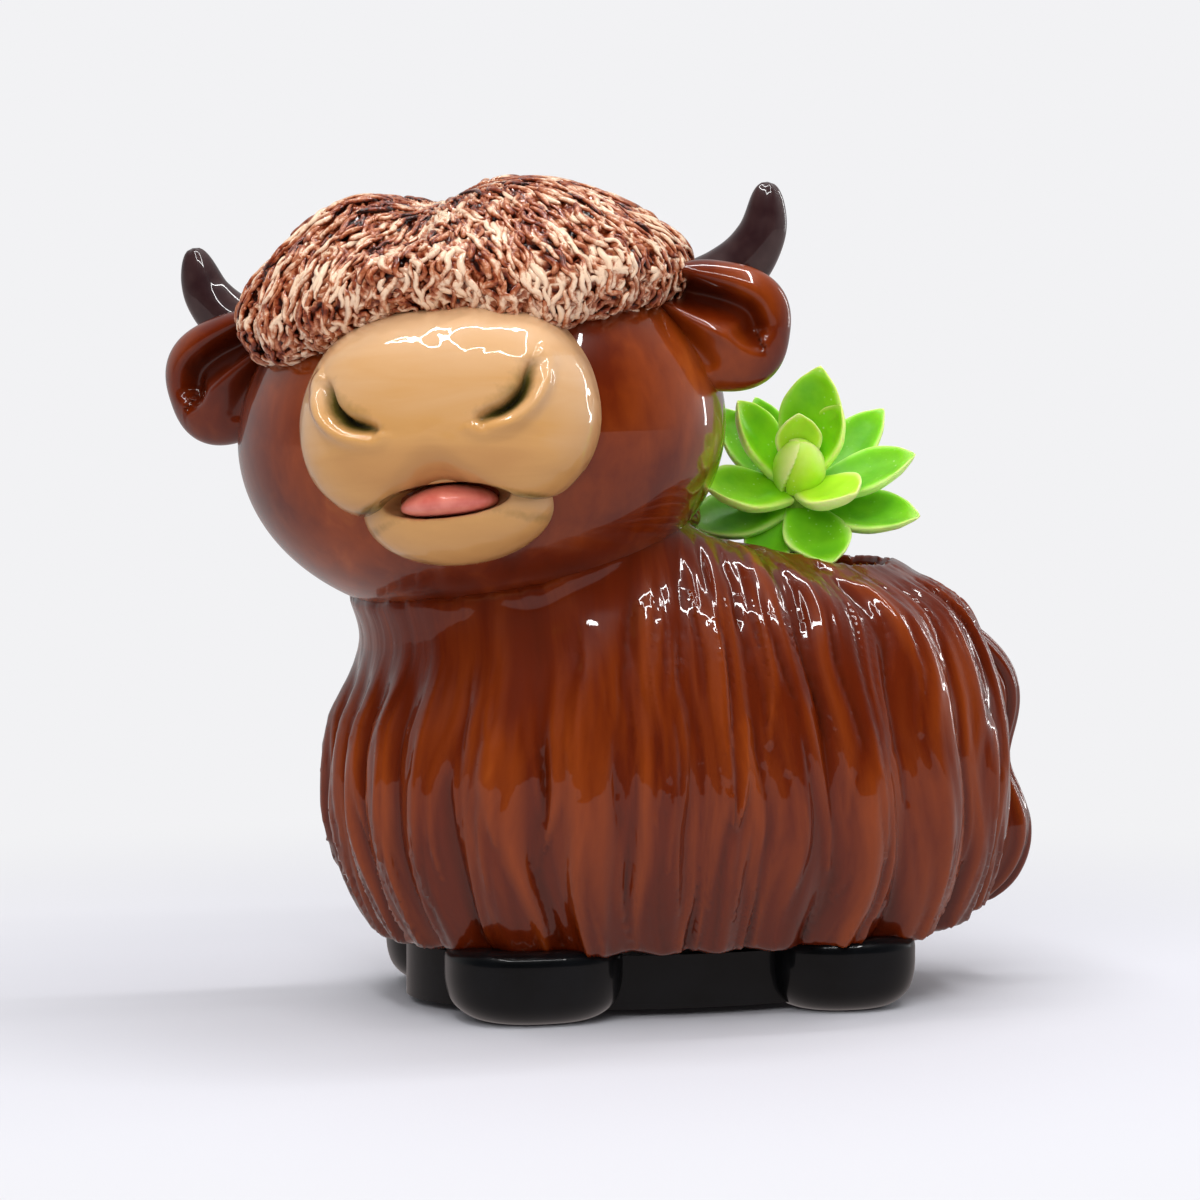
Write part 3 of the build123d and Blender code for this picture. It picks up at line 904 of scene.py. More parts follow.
def leaf_flesh(name, deep, fresh, pale):
    """Living succulent leaf: waxy skin over wet flesh that light passes into, paler along its edge."""
    finish, tree, shader = blank(name)
    coordinates = node(tree, "ShaderNodeTexCoord").outputs["Object"]
    edge = node(tree, "ShaderNodeAttribute", attribute_name="edge").outputs["Fac"]
    blotch = node(
        tree, "ShaderNodeTexNoise", {"Vector": coordinates, "Scale": 1 / (6 * MM), "Detail": 3.0}
    ).outputs["Fac"]
    mixed = node(
        tree, "ShaderNodeMath", {0: blotch, 1: 0.45, 2: edge}, operation="MULTIPLY_ADD"
    ).outputs["Value"]
    tint = ramp(tree, mixed, ((0.16, linear(deep)), (0.55, linear(fresh)), (1.0, linear(pale))))
    # Pin-head wax flecks about 0.5 mm across.
    fleck = node(
        tree, "ShaderNodeTexVoronoi", {"Vector": coordinates, "Scale": 1 / (1.3 * MM)}
    ).outputs["Distance"]
    dots = ramp(tree, fleck, ((0.10, (1, 1, 1, 1)), (0.20, (0, 0, 0, 1))))
    some = ramp(tree, blotch, ((0.50, (0, 0, 0, 1)), (0.62, (1, 1, 1, 1))))
    both = node(tree, "ShaderNodeMath", {0: dots, 1: some}, operation="MULTIPLY").outputs["Value"]
    part = node(tree, "ShaderNodeMath", {0: both, 1: 0.35}, operation="MULTIPLY").outputs["Value"]
    speckled = node(
        tree,
        "ShaderNodeMix",
        {"Factor": part, MIX_FIRST: tint, MIX_SECOND: linear("#eefbd0")},
        data_type="RGBA",
    ).outputs[MIX_RESULT]
    tree.links.new(speckled, shader.inputs["Base Color"])
    bump = node(tree, "ShaderNodeBump", {"Height": fleck, "Distance": 0.1 * MM, "Strength": 0.3})
    tree.links.new(bump.outputs["Normal"], shader.inputs["Normal"])
    shader.inputs["Roughness"].default_value = 0.38
    shader.inputs["IOR"].default_value = 1.42
    shader.inputs["Subsurface Weight"].default_value = 0.35
    shader.inputs["Subsurface Radius"].default_value = (0.5, 1.0, 0.15)
    shader.inputs["Subsurface Scale"].default_value = 2.5 * MM
    return finish


def soil(name):
    """Damp peat and bark: nearly black crumbs, dull, with a few paler fibres."""
    finish, tree, shader = blank(name)
    coordinates = node(tree, "ShaderNodeTexCoord").outputs["Object"]
    crumb = node(
        tree, "ShaderNodeTexVoronoi", {"Vector": coordinates, "Scale": 1 / (1.8 * MM)}
    ).outputs["Distance"]
    cloud = node(
        tree,
        "ShaderNodeTexNoise",
        {"Vector": coordinates, "Scale": 1 / (3 * MM), "Detail": 6.0, "Roughness": 0.7},
    ).outputs["Fac"]
    tint = ramp(
        tree,
        cloud,
        (
            (0.30, linear("#0d0805")),
            (0.55, linear("#21150d")),
            (0.72, linear("#45301f")),
            (0.84, linear("#7a6248")),
        ),
    )
    tree.links.new(tint, shader.inputs["Base Color"])
    rough = node(tree, "ShaderNodeMath", {0: crumb, 1: cloud}, operation="ADD").outputs["Value"]
    bump = node(tree, "ShaderNodeBump", {"Height": rough, "Distance": 0.8 * MM, "Strength": 0.9})
    tree.links.new(bump.outputs["Normal"], shader.inputs["Normal"])
    shader.inputs["Roughness"].default_value = 0.9
    return finish


def stem_skin():
    """Young succulent stem: pale green skin, slightly fibrous along its length."""
    finish, tree, shader = blank("green_stem_skin")
    coordinates = node(tree, "ShaderNodeTexCoord").outputs["Object"]
    fibre = node(
        tree, "ShaderNodeMapping", {"Vector": coordinates, "Scale": (1.0, 1.0, 0.2)}
    ).outputs["Vector"]
    grain = node(
        tree, "ShaderNodeTexNoise", {"Vector": fibre, "Scale": 1 / (1.2 * MM), "Detail": 3.0}
    ).outputs["Fac"]
    tint = ramp(tree, grain, ((0.3, linear("#54781f")), (0.7, linear("#8fb03c"))))
    tree.links.new(tint, shader.inputs["Base Color"])
    bump = node(tree, "ShaderNodeBump", {"Height": grain, "Distance": 0.15 * MM, "Strength": 0.6})
    tree.links.new(bump.outputs["Normal"], shader.inputs["Normal"])
    shader.inputs["Roughness"].default_value = 0.5
    return finish


def screen_plastic():
    """Moulded black polypropylene mesh, satin, with a faint moulding grain."""
    finish, tree, shader = blank("moulded_polypropylene")
    coordinates = node(tree, "ShaderNodeTexCoord").outputs["Object"]
    grain = node(
        tree, "ShaderNodeTexNoise", {"Vector": coordinates, "Scale": 1 / (0.6 * MM), "Detail": 2.0}
    ).outputs["Fac"]
    tint = ramp(tree, grain, ((0.3, linear("#141516")), (0.7, linear("#232426"))))
    tree.links.new(tint, shader.inputs["Base Color"])
    bump = node(tree, "ShaderNodeBump", {"Height": grain, "Distance": 0.05 * MM, "Strength": 0.5})
    tree.links.new(bump.outputs["Normal"], shader.inputs["Normal"])
    shader.inputs["Roughness"].default_value = 0.5
    shader.inputs["IOR"].default_value = 1.49
    return finish


# Sizes and colours


class PlanterCoat(bpy.types.PropertyGroup):
    grain: size("Clay grain", "Size of the small facets that the torso is shaped from", 0.92)
    groove: size("Groove depth", "Depth of the grooves between the big locks", 0.8)
    strand: size("Strand depth", "Depth of the fine grooves within a lock", 0.66)
    lock_height: size("Lock height", "How far the loose locks stand off the coat", 1.1)
    lock_count: IntProperty(
        name="Loose locks", description="Number of loose locks laid over the coat", default=190, min=0
    )
    hem_wave: size("Hem wave", "How far lock ends hang below the gaps between them", 0.9)


class PlanterMop(bpy.types.PropertyGroup):
    curl_count: IntProperty(name="Curls", description="Number of clay curls on the mop", default=1750, min=0)
    curl_radius: size("Curl radius", "Half the thickness of a clay curl", 0.74)
    curl_length: size("Curl length", "Usual length of a clay curl", 8.0)
    carving: size("Carving depth", "Depth of the strands carved into the mop", 1.5)


class PlanterPlant(bpy.types.PropertyGroup):
    leaf_length: size("Leaf length", "Length of the longest leaves", 26.0)
    leaf_width: size("Leaf width", "Width of a full leaf", 11.6)
    leaf_thickness: size("Leaf thickness", "Thickness of a full leaf", 5.2)
    leaf_curl: size("Leaf curl", "How far the tip of a leaf curls up", 3.0)
    bud_radius: size("Bud radius", "Half the width of the closed heart of the rosette", 4.9)
    bud_length: size("Bud length", "Length of the closed heart of the rosette", 14.0)
    crumb_count: IntProperty(
        name="Soil crumbs", description="Loose crumbs on the potting mix", default=300, min=0
    )


class PlanterGlaze(bpy.types.PropertyGroup):
    brown_deep: colour("Deep brown", "Brown glaze where it pools", "#401002")
    brown: colour("Brown", "Brown glaze", "#611d03")
    brown_warm: colour("Warm brown", "Brown glaze where it is thin", "#8a390b")
    brown_thin: colour("Thin brown", "Brown glaze over the edge of a lock", "#b65c1f")
    tan: colour("Tan", "Muzzle", "#cf9a5c")
    tan_deep: colour("Deep tan", "Muzzle in its lower bands", "#bd8850")
    tan_pale: colour("Pale tan", "Top of the muzzle", "#d8ad81")
    crease: colour("Crease", "Airbrushed creases", "#5e5320")
    crease_dark: colour("Dark crease", "Inside of the nostrils and the corners of the mouth", "#17140a")
    tongue: colour("Tongue", "Tongue", "#d66a5c")
    horn: colour("Horn", "Horns", "#2a1417")
    hoof: colour("Hoof", "Hooves and base", "#040506")
    cream: colour("Cream", "Slip on top of the curls", "#f4d3b4")
    curl_rose: colour("Rose brown", "Half-covered curls", "#b96f4a")
    curl_brown: colour("Curl brown", "Bare curls", "#7e2e10")
    hollow: colour("Hollow", "Hollows between the curls", "#240803")


class PlanterStage(bpy.types.PropertyGroup):
    camera_place: FloatVectorProperty(
        name="Camera",
        description="Place of the camera, measured from the middle of the torso",
        default=(0.7657, -0.2322, 0.1255),
        size=3,
        subtype="TRANSLATION",
        unit="LENGTH",
    )
    backdrop: colour("Backdrop", "Paper sweep behind the planter", "#f2f2f4")


# Pieces


class PLANTER_OT_torso(bpy.types.Operator):
    """Model the torso with its coat of long locks"""

    bl_idname = "planter.torso"
    bl_label = "Torso"

    def execute(self, context):
        look = context.scene.planter_coat
        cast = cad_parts["torso_shell"]
        piece = bpy.data.objects.new("glazed_torso", cast.data.copy())
        context.scene.collection.objects.link(piece)
        only(piece)
        bpy.ops.object.mode_set(mode="EDIT")
        bpy.ops.mesh.select_all(action="SELECT")
        bpy.ops.mesh.remove_doubles(threshold=0.002 * MM)
        bpy.ops.object.mode_set(mode="OBJECT")
        # The core closes the joint between neck and head.
        bpy.ops.object.select_all(action="DESELECT")
        back, height, radius, length = CORE
        bpy.ops.mesh.primitive_cylinder_add(
            vertices=96,
            radius=radius * MM,
            depth=length * MM,
            location=TORSO @ Vector((NECK[0], back, height)),
        )
        core = context.active_object
        only(piece)
        core.select_set(True)
        bpy.ops.object.join()
        use(piece, "REMESH", mode="VOXEL", voxel_size=look.grain, adaptivity=0.0)
        use(piece, "SMOOTH", factor=0.5, iterations=9)
        piece.data.transform(TORSO.inverted())
        self.comb(piece, look)
        finish = brown_glaze("treacle_brown_coat_glaze", True)
        settle(piece, TORSO, finish, "planter", ["torso_shell"])
        return {"FINISHED"}

    def comb(self, piece, look):
        """Draws the locks into the outside of the torso."""
        self.draw_in(piece)
        points = points_of(piece)
        normals = normals_of(piece)
        x, y, z = points.T
        rows = np.array(COAT_SHARES)
        rise = np.clip((z - HEM) / (BACK - HEM), 0, 1)
        front, rear, wide = (np.interp(rise, rows[:, 0], rows[:, k]) for k in (1, 2, 3))
        reach = np.where(y > 0, rear, front) * HALF_LENGTH
        half = wide * HALF_WIDTH
        turn = np.arctan2(y / reach, x / half)
        out = (np.abs(x / half) ** OUTLINE_POWER + np.abs(y / reach) ** OUTLINE_POWER) ** (1 / OUTLINE_POWER)
        place = (LOCKS * turn + 1.1 * np.sin(5 * turn) + 0.9 * rise) / (2 * math.pi)
        place = place + 0.06 * np.sin(z / 9.0 + 3 * turn) + 0.02 * np.sin(z / 4.1 + 11 * turn)

        mouth_gap = np.hypot(x - MOUTH[0], y - MOUTH[1]) - MOUTH[2]
        neck_gap = np.hypot(x - NECK[0], y - NECK[1]) - NECK[2]
        outside = smoothstep(0.92, 0.965, out)
        outside = np.maximum(outside, smoothstep(84.5, 87.5, z) * smoothstep(0.2, 0.5, normals[:, 2]))
        outside *= 1 - smoothstep(0.55, 0.9, -normals[:, 2])
        outside *= smoothstep(0.8, 4.5, mouth_gap)
        # The chest and the neck are smoothed over.
        chest = smoothstep(*CHEST, z) * (1 - smoothstep(0.0, 9.0, neck_gap))
        outside *= 1 - 0.92 * chest

        broad = 1 - np.abs(np.sin(math.pi * (2 * place + 0.35 * np.sin(place * 1.3 + z / 14))))
        fine = 1 - np.abs(np.sin(math.pi * (3 * place + 0.5 * np.sin(place * 1.7 + z / 16))))
        gap = np.abs((place % 1) - 0.5)
        groove = np.exp(-((gap / GROOVE_WIDTH) ** 2))
        upper = smoothstep(*UPPER_COAT, z)
        big = look.groove / MM * groove * (1 - 0.4 * upper)
        small = look.strand / MM * (1 + 1.5 * upper) * (0.8 * broad**2.2 + 0.45 * fine**3)
        base = -big - small
        loose = self.loose_locks(place, z, look)
        hair = outside * (base * (1 - 0.75 * np.clip(loose, 0, 1)) + loose)
        # The neck flares into the underside of the head.
        to_head = (HEAD.inverted() @ TORSO).to_3x3()
        shift = HEAD.inverted() @ TORSO @ Vector((0, 0, 0))
        local = points @ np.array(to_head).T + np.array(shift)
        off_head = (np.linalg.norm(local / HEAD_HALF, axis=1) - 1) * HEAD_MEAN
        near_neck = smoothstep(-2, 2, neck_gap + 6) * (neck_gap < 14)
        flare = np.clip(1 - off_head / FLARE_DEPTH, 0, 1) ** 2 * near_neck
        points += normals * (hair + FLARE_HEIGHT * flare)[:, None]

        # Lock ends hang lower than the gaps between them.
        floor = HEM + HEM_CLIMB * np.clip((y - RUMP_START) / RUMP_LENGTH, 0, 1)
        near_hem = smoothstep(0.80, 0.93, out) * (1 - smoothstep(0.5, 6.0, z - floor))
        drop = np.abs(np.cos(math.pi * place)) - 0.55 + 0.4 * np.clip(loose, 0, 1)
        points[:, 2] -= look.hem_wave / MM * near_hem * drop

        move_points(piece, points)
        spin = 2 * math.pi * place / LOCKS
        flow = np.column_stack([COAT_RADIUS * np.cos(spin), COAT_RADIUS * np.sin(spin), 0.13 * z]) * MM
        store(piece, "flow", flow)
        relief = np.clip(0.5 + 0.42 * (loose + base * 0.7), 0, 1)
        store(piece, "relief", relief * outside + 0.45 * (1 - outside))

    def draw_in(self, piece):
        """Raises the cast coat, draws its front in under the head, and makes the mouth smaller."""
        points = points_of(piece)
        points[:, 2] += LIFT / MM
        x, y, z = points.T
        rows = np.array(COAT_SHARES)
        rise = np.clip((z - HEM) / (BACK - HEM), 0, 1)
        slim = np.interp(rise, rows[:, 0], rows[:, 1] / np.array(CAST_FRONT))
        neck_gap = np.hypot(x - NECK[0], y - NECK[1]) - NECK[2]
        free = 1 - smoothstep(58, 68, z) * (1 - smoothstep(-3, 7, neck_gap))
        points[:, 1] = np.where(y < 0, y * (1 - (1 - slim) * free), y)

        x, y, z = points.T
        left, back, radius = CAST_MOUTH
        gap = np.hypot(x - left, y - back)
        near = (1 - smoothstep(radius, radius + MOUTH_BLEND, gap)) * smoothstep(74, 85, z)
        closer = (radius - MOUTH[2]) * near / np.maximum(gap, 1)
        points[:, 0] -= (x - left) * closer
        points[:, 1] -= (y - back) * closer + (back - MOUTH[1]) * near
        # The back rises towards the head.
        y = points[:, 1]
        saddle = (1 - smoothstep(-10, 24, y)) * smoothstep(-34, -16, y) * smoothstep(70, 88, z)
        points[:, 2] += BACK_RISE * saddle
        move_points(piece, points)

    def loose_locks(self, place, z, look):
        """Height of the loose locks: pointed strands of many lengths, one over another."""
        pick = random.Random(11)
        height = np.zeros(len(z))
        for step in range(look.lock_count):
            centre = LOCKS * (step + pick.uniform(-0.4, 0.4)) / look.lock_count
            top = pick.uniform(*LOCK_TOPS) if pick.random() < 0.6 else LOCK_TOP_MOST
            low = pick.uniform(*LOCK_ENDS) if pick.random() < 0.62 else LOCK_END_LEAST
            low = min(low, top - LOCK_LEAST_LENGTH)
            half = pick.uniform(*LOCK_HALF)
            slant = pick.uniform(-LOCK_SLANT, LOCK_SLANT)
            wave = pick.uniform(0, 6.28)
            tall = look.lock_height / MM * pick.uniform(0.4, 1.0)
            along = (top - z) / (top - low)
            here = (along > 0) & (along < 1)
            t = np.clip(along[here], 0.001, 0.999)
            middle = centre + slant * (t - 0.5) + 0.05 * np.sin(z[here] / 7 + wave)
            off = np.abs((place[here] - middle + LOCKS / 2) % LOCKS - LOCKS / 2)
            width = half * np.minimum(1, (t / 0.3) ** 0.7) * np.minimum(1, ((1 - t) / 0.5) ** 0.85)
            across = np.clip(1 - off / width, 0, 1) ** 0.75
            ends = np.minimum(1, t / 0.25) * np.minimum(1, ((1 - t) / 0.06)) ** 0.5
            height[here] = np.maximum(height[here], tall * across * ends)
        return height


class PLANTER_OT_head(bpy.types.Operator):
    """Model the smooth round head"""

    bl_idname = "planter.head"
    bl_label = "Head"

    def execute(self, context):
        piece = ball("glazed_head", 192, 96)
        points = points_of(piece)
        x, y, z = points.T
        points = points * HEAD_HALF
        cheek = np.exp(-(((np.abs(x) - 0.62) / 0.3) ** 2) - ((y + 0.55) / 0.4) ** 2 - ((z + 0.25) / 0.4) ** 2)
        points *= (1 + CHEEK_SWELL * cheek)[:, None]
        move_points(piece, points)
        finish = brown_glaze("treacle_brown_smooth_glaze", False)
        settle(piece, HEAD, finish, "planter", ["head_shell"])
        return {"FINISHED"}


class PLANTER_OT_face(bpy.types.Operator):
    """Model the muzzle, the chin and the tongue"""

    bl_idname = "planter.face"
    bl_label = "Muzzle, chin and tongue"

    def execute(self, context):
        finish = muzzle_glaze()
        look = context.scene.planter_glaze

        muzzle = ball("glazed_muzzle", 160, 120)
        turn, place = angles(points_of(muzzle))
        top, *left, bottom = MUZZLE_OUTLINE
        right = [(-across, rise) for across, rise in reversed(left)]
        outline = smooth_path([top, *left, bottom, *right, top], 400)
        long = MUZZLE_REACH - MUZZLE_ROOT
        dome = smooth_path([(long * p, MUZZLE_MEAN * s) for p, s in MUZZLE_DOME], 400)
        edge = read_path(outline, (turn / (2 * math.pi)) % 1)
        ahead, reach = read_path(dome, place).T
        along, reach = ahead / long, reach / MUZZLE_MEAN
        across = FACE_LEFT + edge[:, 0] * reach * MUZZLE_HALF[0]
        rise = MUZZLE_RISE - MUZZLE_DROP * along + edge[:, 1] * reach * MUZZLE_HALF[1]
        move_points(muzzle, np.column_stack([across, -(MUZZLE_ROOT + ahead), rise]))
        outward(muzzle)
        chin = ball("glazed_chin", 96, 64)
        move_points(chin, points_of(chin) * CHIN_HALF + CHIN_MIDDLE)
        for piece in (muzzle, chin):
            slot = ball("mouth_slot", 64, 32)
            move_points(slot, points_of(slot) * SLOT_HALF + SLOT_MIDDLE)
            use(piece, "BOOLEAN", operation="DIFFERENCE", object=slot, solver="EXACT")
            bpy.data.objects.remove(slot)
            use(piece, "REMESH", mode="VOXEL", voxel_size=FACE_GRAIN, adaptivity=0.0)
            use(piece, "SMOOTH", factor=0.5, iterations=8)
        self.carve_nose(muzzle)
        self.shade_lip(chin)
        settle(muzzle, HEAD, finish, "planter", ["muzzle"])
        settle(chin, HEAD, finish, "planter", ["chin"])

        tongue = ball("glazed_tongue", 64, 40)
        points = points_of(tongue) * TONGUE_HALF
        points[:, 2] -= TONGUE_SAG * points[:, 0] ** 2
        move_points(tongue, points + TONGUE_MIDDLE)
        coral = plain_glaze("coral_pink_glaze", look.tongue, "#ea8a78", 5)
        settle(tongue, HEAD, coral, "planter", ["tongue"])
        return {"FINISHED"}

    def carve_nose(self, muzzle):
        """Presses two crescent nostrils into the nose, raises their wings, notes the sprayed shade with its
        painted shadow in the slits and the mouth corners, and notes the painted light.
        """
        points = points_of(muzzle)
        normals = normals_of(muzzle)
        u, v, w = points.T
        u = u - FACE_LEFT
        ahead = smoothstep(0.15, 0.5, -normals[:, 1])
        shade = np.zeros(len(points))
        push = np.zeros(len(points))
        for side in (1, -1):
            line = [(side * across, rise) for across, rise in NOSTRIL]
            gap, along, hand = from_line(u, w, line)
            hand = -hand * side
            ends = np.sin(math.pi * np.clip(0.08 + 0.84 * along, 0, 1)) ** 0.6
            wide = np.where(hand > 0, NOSTRIL_INNER_WIDTH, NOSTRIL_OUTER_WIDTH)
            push -= NOSTRIL_DEPTH * ends * np.exp(-((gap / wide) ** 2)) * ahead
            outer = np.where(hand > 0, 0.0, gap)
            wing = np.exp(-(((outer - WING_AWAY) / WING_WIDTH) ** 2)) * (hand < 0)
            push += WING_HEIGHT * ends * wing * ahead
            inner = np.where(hand > 0, gap, 1.2 * gap)
            # Sprayed dark along the slit: airbrush, and near black as painted shadow in the slit.
            shade = np.maximum(shade, ends * np.exp(-((gap / SPRAY_TIGHT) ** 2)) * ahead)
            soft = np.exp(-((inner / SPRAY_SOFT) ** 2)) * (hand > 0)
            shade = np.maximum(shade, 0.42 * ends * soft * ahead)
        # A sprayed line along the mouth, darker at its corners, where it is painted shadow too.
        gap, along, _ = from_line(u, w, MOUTH_LINE)
        corner = smoothstep(0.30, 0.48, np.abs(along - 0.5))
        seam = (0.40 + 0.35 * corner) * np.exp(-((gap / SPRAY_MUZZLE) ** 2))
        shade = np.maximum(shade, seam * smoothstep(-30, -40, v))
        # A soft philtrum over the lip.
        off = np.hypot(u, w - PHILTRUM_HEIGHT)
        push -= PHILTRUM_DEPTH * np.exp(-((off / PHILTRUM_WIDTH) ** 2)) * ahead
        points += normals * push[:, None]
        move_points(muzzle, points)
        store(muzzle, "shade", shade)
        # The muzzle is lighter towards its top and round its lower rim, and painted light makes it lighter
        # where it faces up.
        rim = smoothstep(0.62, 0.95, np.hypot(u / MUZZLE_HALF[0], (w - MUZZLE_RISE) / MUZZLE_HALF[1]))
        lift = (w + 14) / 38 + 0.12 * np.clip(normals[:, 2], -1, 1) + 0.34 * rim * (w < 12)
        store(muzzle, "lift", np.clip(lift, 0, 1))

    def shade_lip(self, chin):
        """Notes the sprayed shade on the chin, a little below the line of the mouth, and the painted light on
        it.
        """
        normals = normals_of(chin)
        across, _, rise = points_of(chin).T
        line = [(x, z - LIP_DROP) for x, z in MOUTH_LINE]
        gap, along, _ = from_line(across - FACE_LEFT, rise, line)
        corner = smoothstep(0.22, 0.46, np.abs(along - 0.5))
        shade = (0.10 + 0.16 * corner) * np.exp(-((gap / SPRAY_CHIN) ** 2))
        store(chin, "shade", shade)
        # Painted light: the chin is lighter where it faces up and darker beneath.
        store(chin, "lift", np.clip(0.55 + 0.25 * normals[:, 2], 0, 1))


def mop_profile():
    """Reach and height down over the mop, evenly spaced, and the length of that way in millimetres."""
    profile = smooth_path([(MOP_HALF[0] * reach, MOP_RISE * rise) for reach, rise in MOP_SHARES], 500)
    length = np.linalg.norm(np.diff(profile, axis=0), axis=1).sum()
    return profile, length


def mop_point(turn, down, profile):
    """Points on the mop at a turn round it and a share of the way down over it."""
    reach, rise = read_path(profile, down).T
    c, s = np.cos(turn), np.sin(turn)
    stretch = 1 + (squared(turn, OUTLINE_POWER) - 1) * smoothstep(0, 0.25, down)
    side = smoothstep(0.12, 0.4, down) * (1 - smoothstep(0.62, 0.8, down))
    lump = MOP_LUMP * np.cos(MOP_LUMPS * turn + 2.5 * down) * side
    out = reach * stretch + lump
    x = c * out
    y = s * out * MOP_HALF[1] / MOP_HALF[0]
    edge = np.interp(x, *np.array(MOP_EDGE).T) * smoothstep(0.2, 0.8, -s) * smoothstep(0.30, 0.52, down)
    crown = 1 - smoothstep(0.30, 0.55, down)
    left, wide, deep = PARTING
    dip = crown * deep * np.exp(-(((x - left) / wide) ** 2))
    z = MOP_LOW + rise - dip + edge * (1 - smoothstep(0.75, 0.95, down))
    swell = 0.8 * np.sin(x / 7.3 + 1.0) * np.sin(y / 8.1 + 0.4) * (1 - smoothstep(0.6, 0.8, down))
    return np.column_stack([x, y, z + swell])


class PLANTER_OT_mop(bpy.types.Operator):
    """Model the mop of clay curls over the head"""

    bl_idname = "planter.mop"
    bl_label = "Mop"

    def execute(self, context):
        look = context.scene.planter_mop
        finish = curl_glaze()
        profile, length = mop_profile()

        cap = ball("mop_cap", 380, 244)
        turn, place = angles(points_of(cap))
        points = mop_point(turn, place, profile)
        move_points(cap, points)
        outward(cap)
        # Carved strands that run down from the parting, wander and fork.
        warp = np.column_stack([ripple(points, 5.0, shift) for shift in (1.0, 9.0, 17.0)])
        flow = np.column_stack(
            [MOP_RADIUS * np.cos(turn), MOP_RADIUS * np.sin(turn), 0.40 * length * place]
        )
        flow += 2.2 * warp
        ridge = 1 - np.clip(np.abs(ripple(flow, STRAND_WAVE)) * 3.2, 0, 1)
        cross = 1 - np.clip(np.abs(ripple(flow, CROSS_WAVE, 31.0)) * 3.0, 0, 1)
        relief = np.maximum(ridge, 0.8 * cross)
        carved = look.carving / MM * (relief - 0.85)
        move_points(cap, points + normals_of(cap) * carved[:, None])
        store(cap, "crest", relief)
        store(cap, "cream", self.cream(points))
        settle(cap, MOP, finish, "planter", ["fringe"])

        pattern, faces = take_pattern(ball("curl", 6, 10))
        spin, along = angles(pattern)
        body = np.clip(np.sin(math.pi * along), 0, 1) ** 0.4
        pick = random.Random(5)
        spots, crests, tints = [], [], []
        for step in range(look.curl_count):
            centre, run, up = self.curl_path(pick, step, look, profile, length)
            across = np.cross(run, up)
            across /= np.linalg.norm(across, axis=1)[:, None]
            radius = look.curl_radius / MM * pick.uniform(*CURL_THICKNESS)
            lift = np.sin(spin) * body
            aside = read_path(across, along) * (np.cos(spin) * body)[:, None]
            raised = 0.8 * read_path(up, along) * lift[:, None]
            spots.append(read_path(centre, along) + radius * (aside + raised))
            crests.append(np.clip(0.52 + 0.48 * lift, 0, 1))
            tints.append(np.full(len(pattern), pick.uniform(*CURL_SLIP)))
        curls = repeated("mop_curls", spots, faces)
        store(curls, "crest", np.concatenate(crests))
        store(curls, "cream", self.cream(np.vstack(spots)) + np.concatenate(tints))
        settle(curls, MOP, finish, "planter", ())
        return {"FINISHED"}

    def cream(self, points):
        """Where the slip went on thickly: in patches, most of all along the left of the front edge, which is
        whiter also as a painted highlight for the glints of the glaze there.
        """
        x, y, z = points.T
        patch = 0.42 + 0.75 * ripple(points, 6.0, 3.0) + 0.5 * ripple(points, 2.2, 7.0)
        (left, high), (wide, tall) = CREAM_AND_GLINT_PLACE, CREAM_AND_GLINT_REACH
        # Slip, and a painted highlight for the glaze's glints, along the left of the front edge.
        edge = np.exp(-(((x - left) / wide) ** 2) - ((z - MOP_LOW - high) / tall) ** 2) * (y < 0)
        crown = smoothstep(0.80, 1.0, (z - MOP_LOW) / MOP_RISE)
        return np.clip(patch + 0.38 * edge - 0.18 * crown, -0.2, 1.2)

    def curl_path(self, pick, step, look, profile, length):
        """One curl: where its middle line runs over the mop, which way, and which way is out."""
        share = (step + 0.5) / look.curl_count
        turn = (step * GOLDEN_ANGLE) % (2 * math.pi)
        down = 0.03 + 0.62 * math.sqrt(share) + pick.uniform(-0.012, 0.012)
        loose = smoothstep(0.38, 0.58, down)
        heading = pick.uniform(-0.5, 0.5) + 0.25 * math.cos(turn)
        swing = pick.uniform(0.15, 0.6) + 1.3 * loose * pick.random()
        wave = pick.uniform(*CURL_WAVES)
        phase = pick.uniform(0, 2 * math.pi)
        total = look.curl_length / MM * pick.uniform(*CURL_LENGTHS)
        stride = total / (CURL_POINTS - 1)
        turns, downs = [], []
        for k in range(CURL_POINTS):
            turns.append(turn)
            downs.append(down)
            way = heading + swing * math.sin(2 * math.pi * k * stride / wave + phase)
            reach = max(6.0, float(np.interp(down, np.linspace(0, 1, len(profile)), profile[:, 0])))
            down = min(CURL_LOWEST, down + math.cos(way) * stride / length)
            turn += math.sin(way) * stride / reach
        turns, downs = np.array(turns), np.array(downs)
        centre = mop_point(turns, downs, profile)
        aside = mop_point(turns + 0.02, downs, profile) - centre
        below = mop_point(turns, downs + 0.01, profile) - centre
        up = np.cross(below, aside)
        up /= np.linalg.norm(up, axis=1)[:, None]
        run = np.gradient(centre, axis=0)
        run /= np.linalg.norm(run, axis=1)[:, None] + 1e-9
        return centre + up * pick.uniform(*CURL_RISE), run, up


class PLANTER_OT_horns(bpy.types.Operator):
    """Model the two short horns"""

    bl_idname = "planter.horns"
    bl_label = "Horns"

    def execute(self, context):
        look = context.scene.planter_glaze
        finish = plain_glaze("dark_horn_glaze", look.horn, "#44302f", 9)
        for side, name in ((1, "left"), (-1, "right")):
            line = [(side * x, y, z) for x, y, z in HORN_LINE]
            horn, turn, place = rod(f"glazed_horn_{name}", line, HORN_RADII, 64, 72)
            points = points_of(horn)
            push = 0.10 * np.cos(5 * turn + 4 * place) + 0.12 * ripple(points, 6.0)
            move_points(horn, points + normals_of(horn) * push[:, None])
            settle(horn, HEAD, finish, "planter", [f"horn_{name}"])
        return {"FINISHED"}


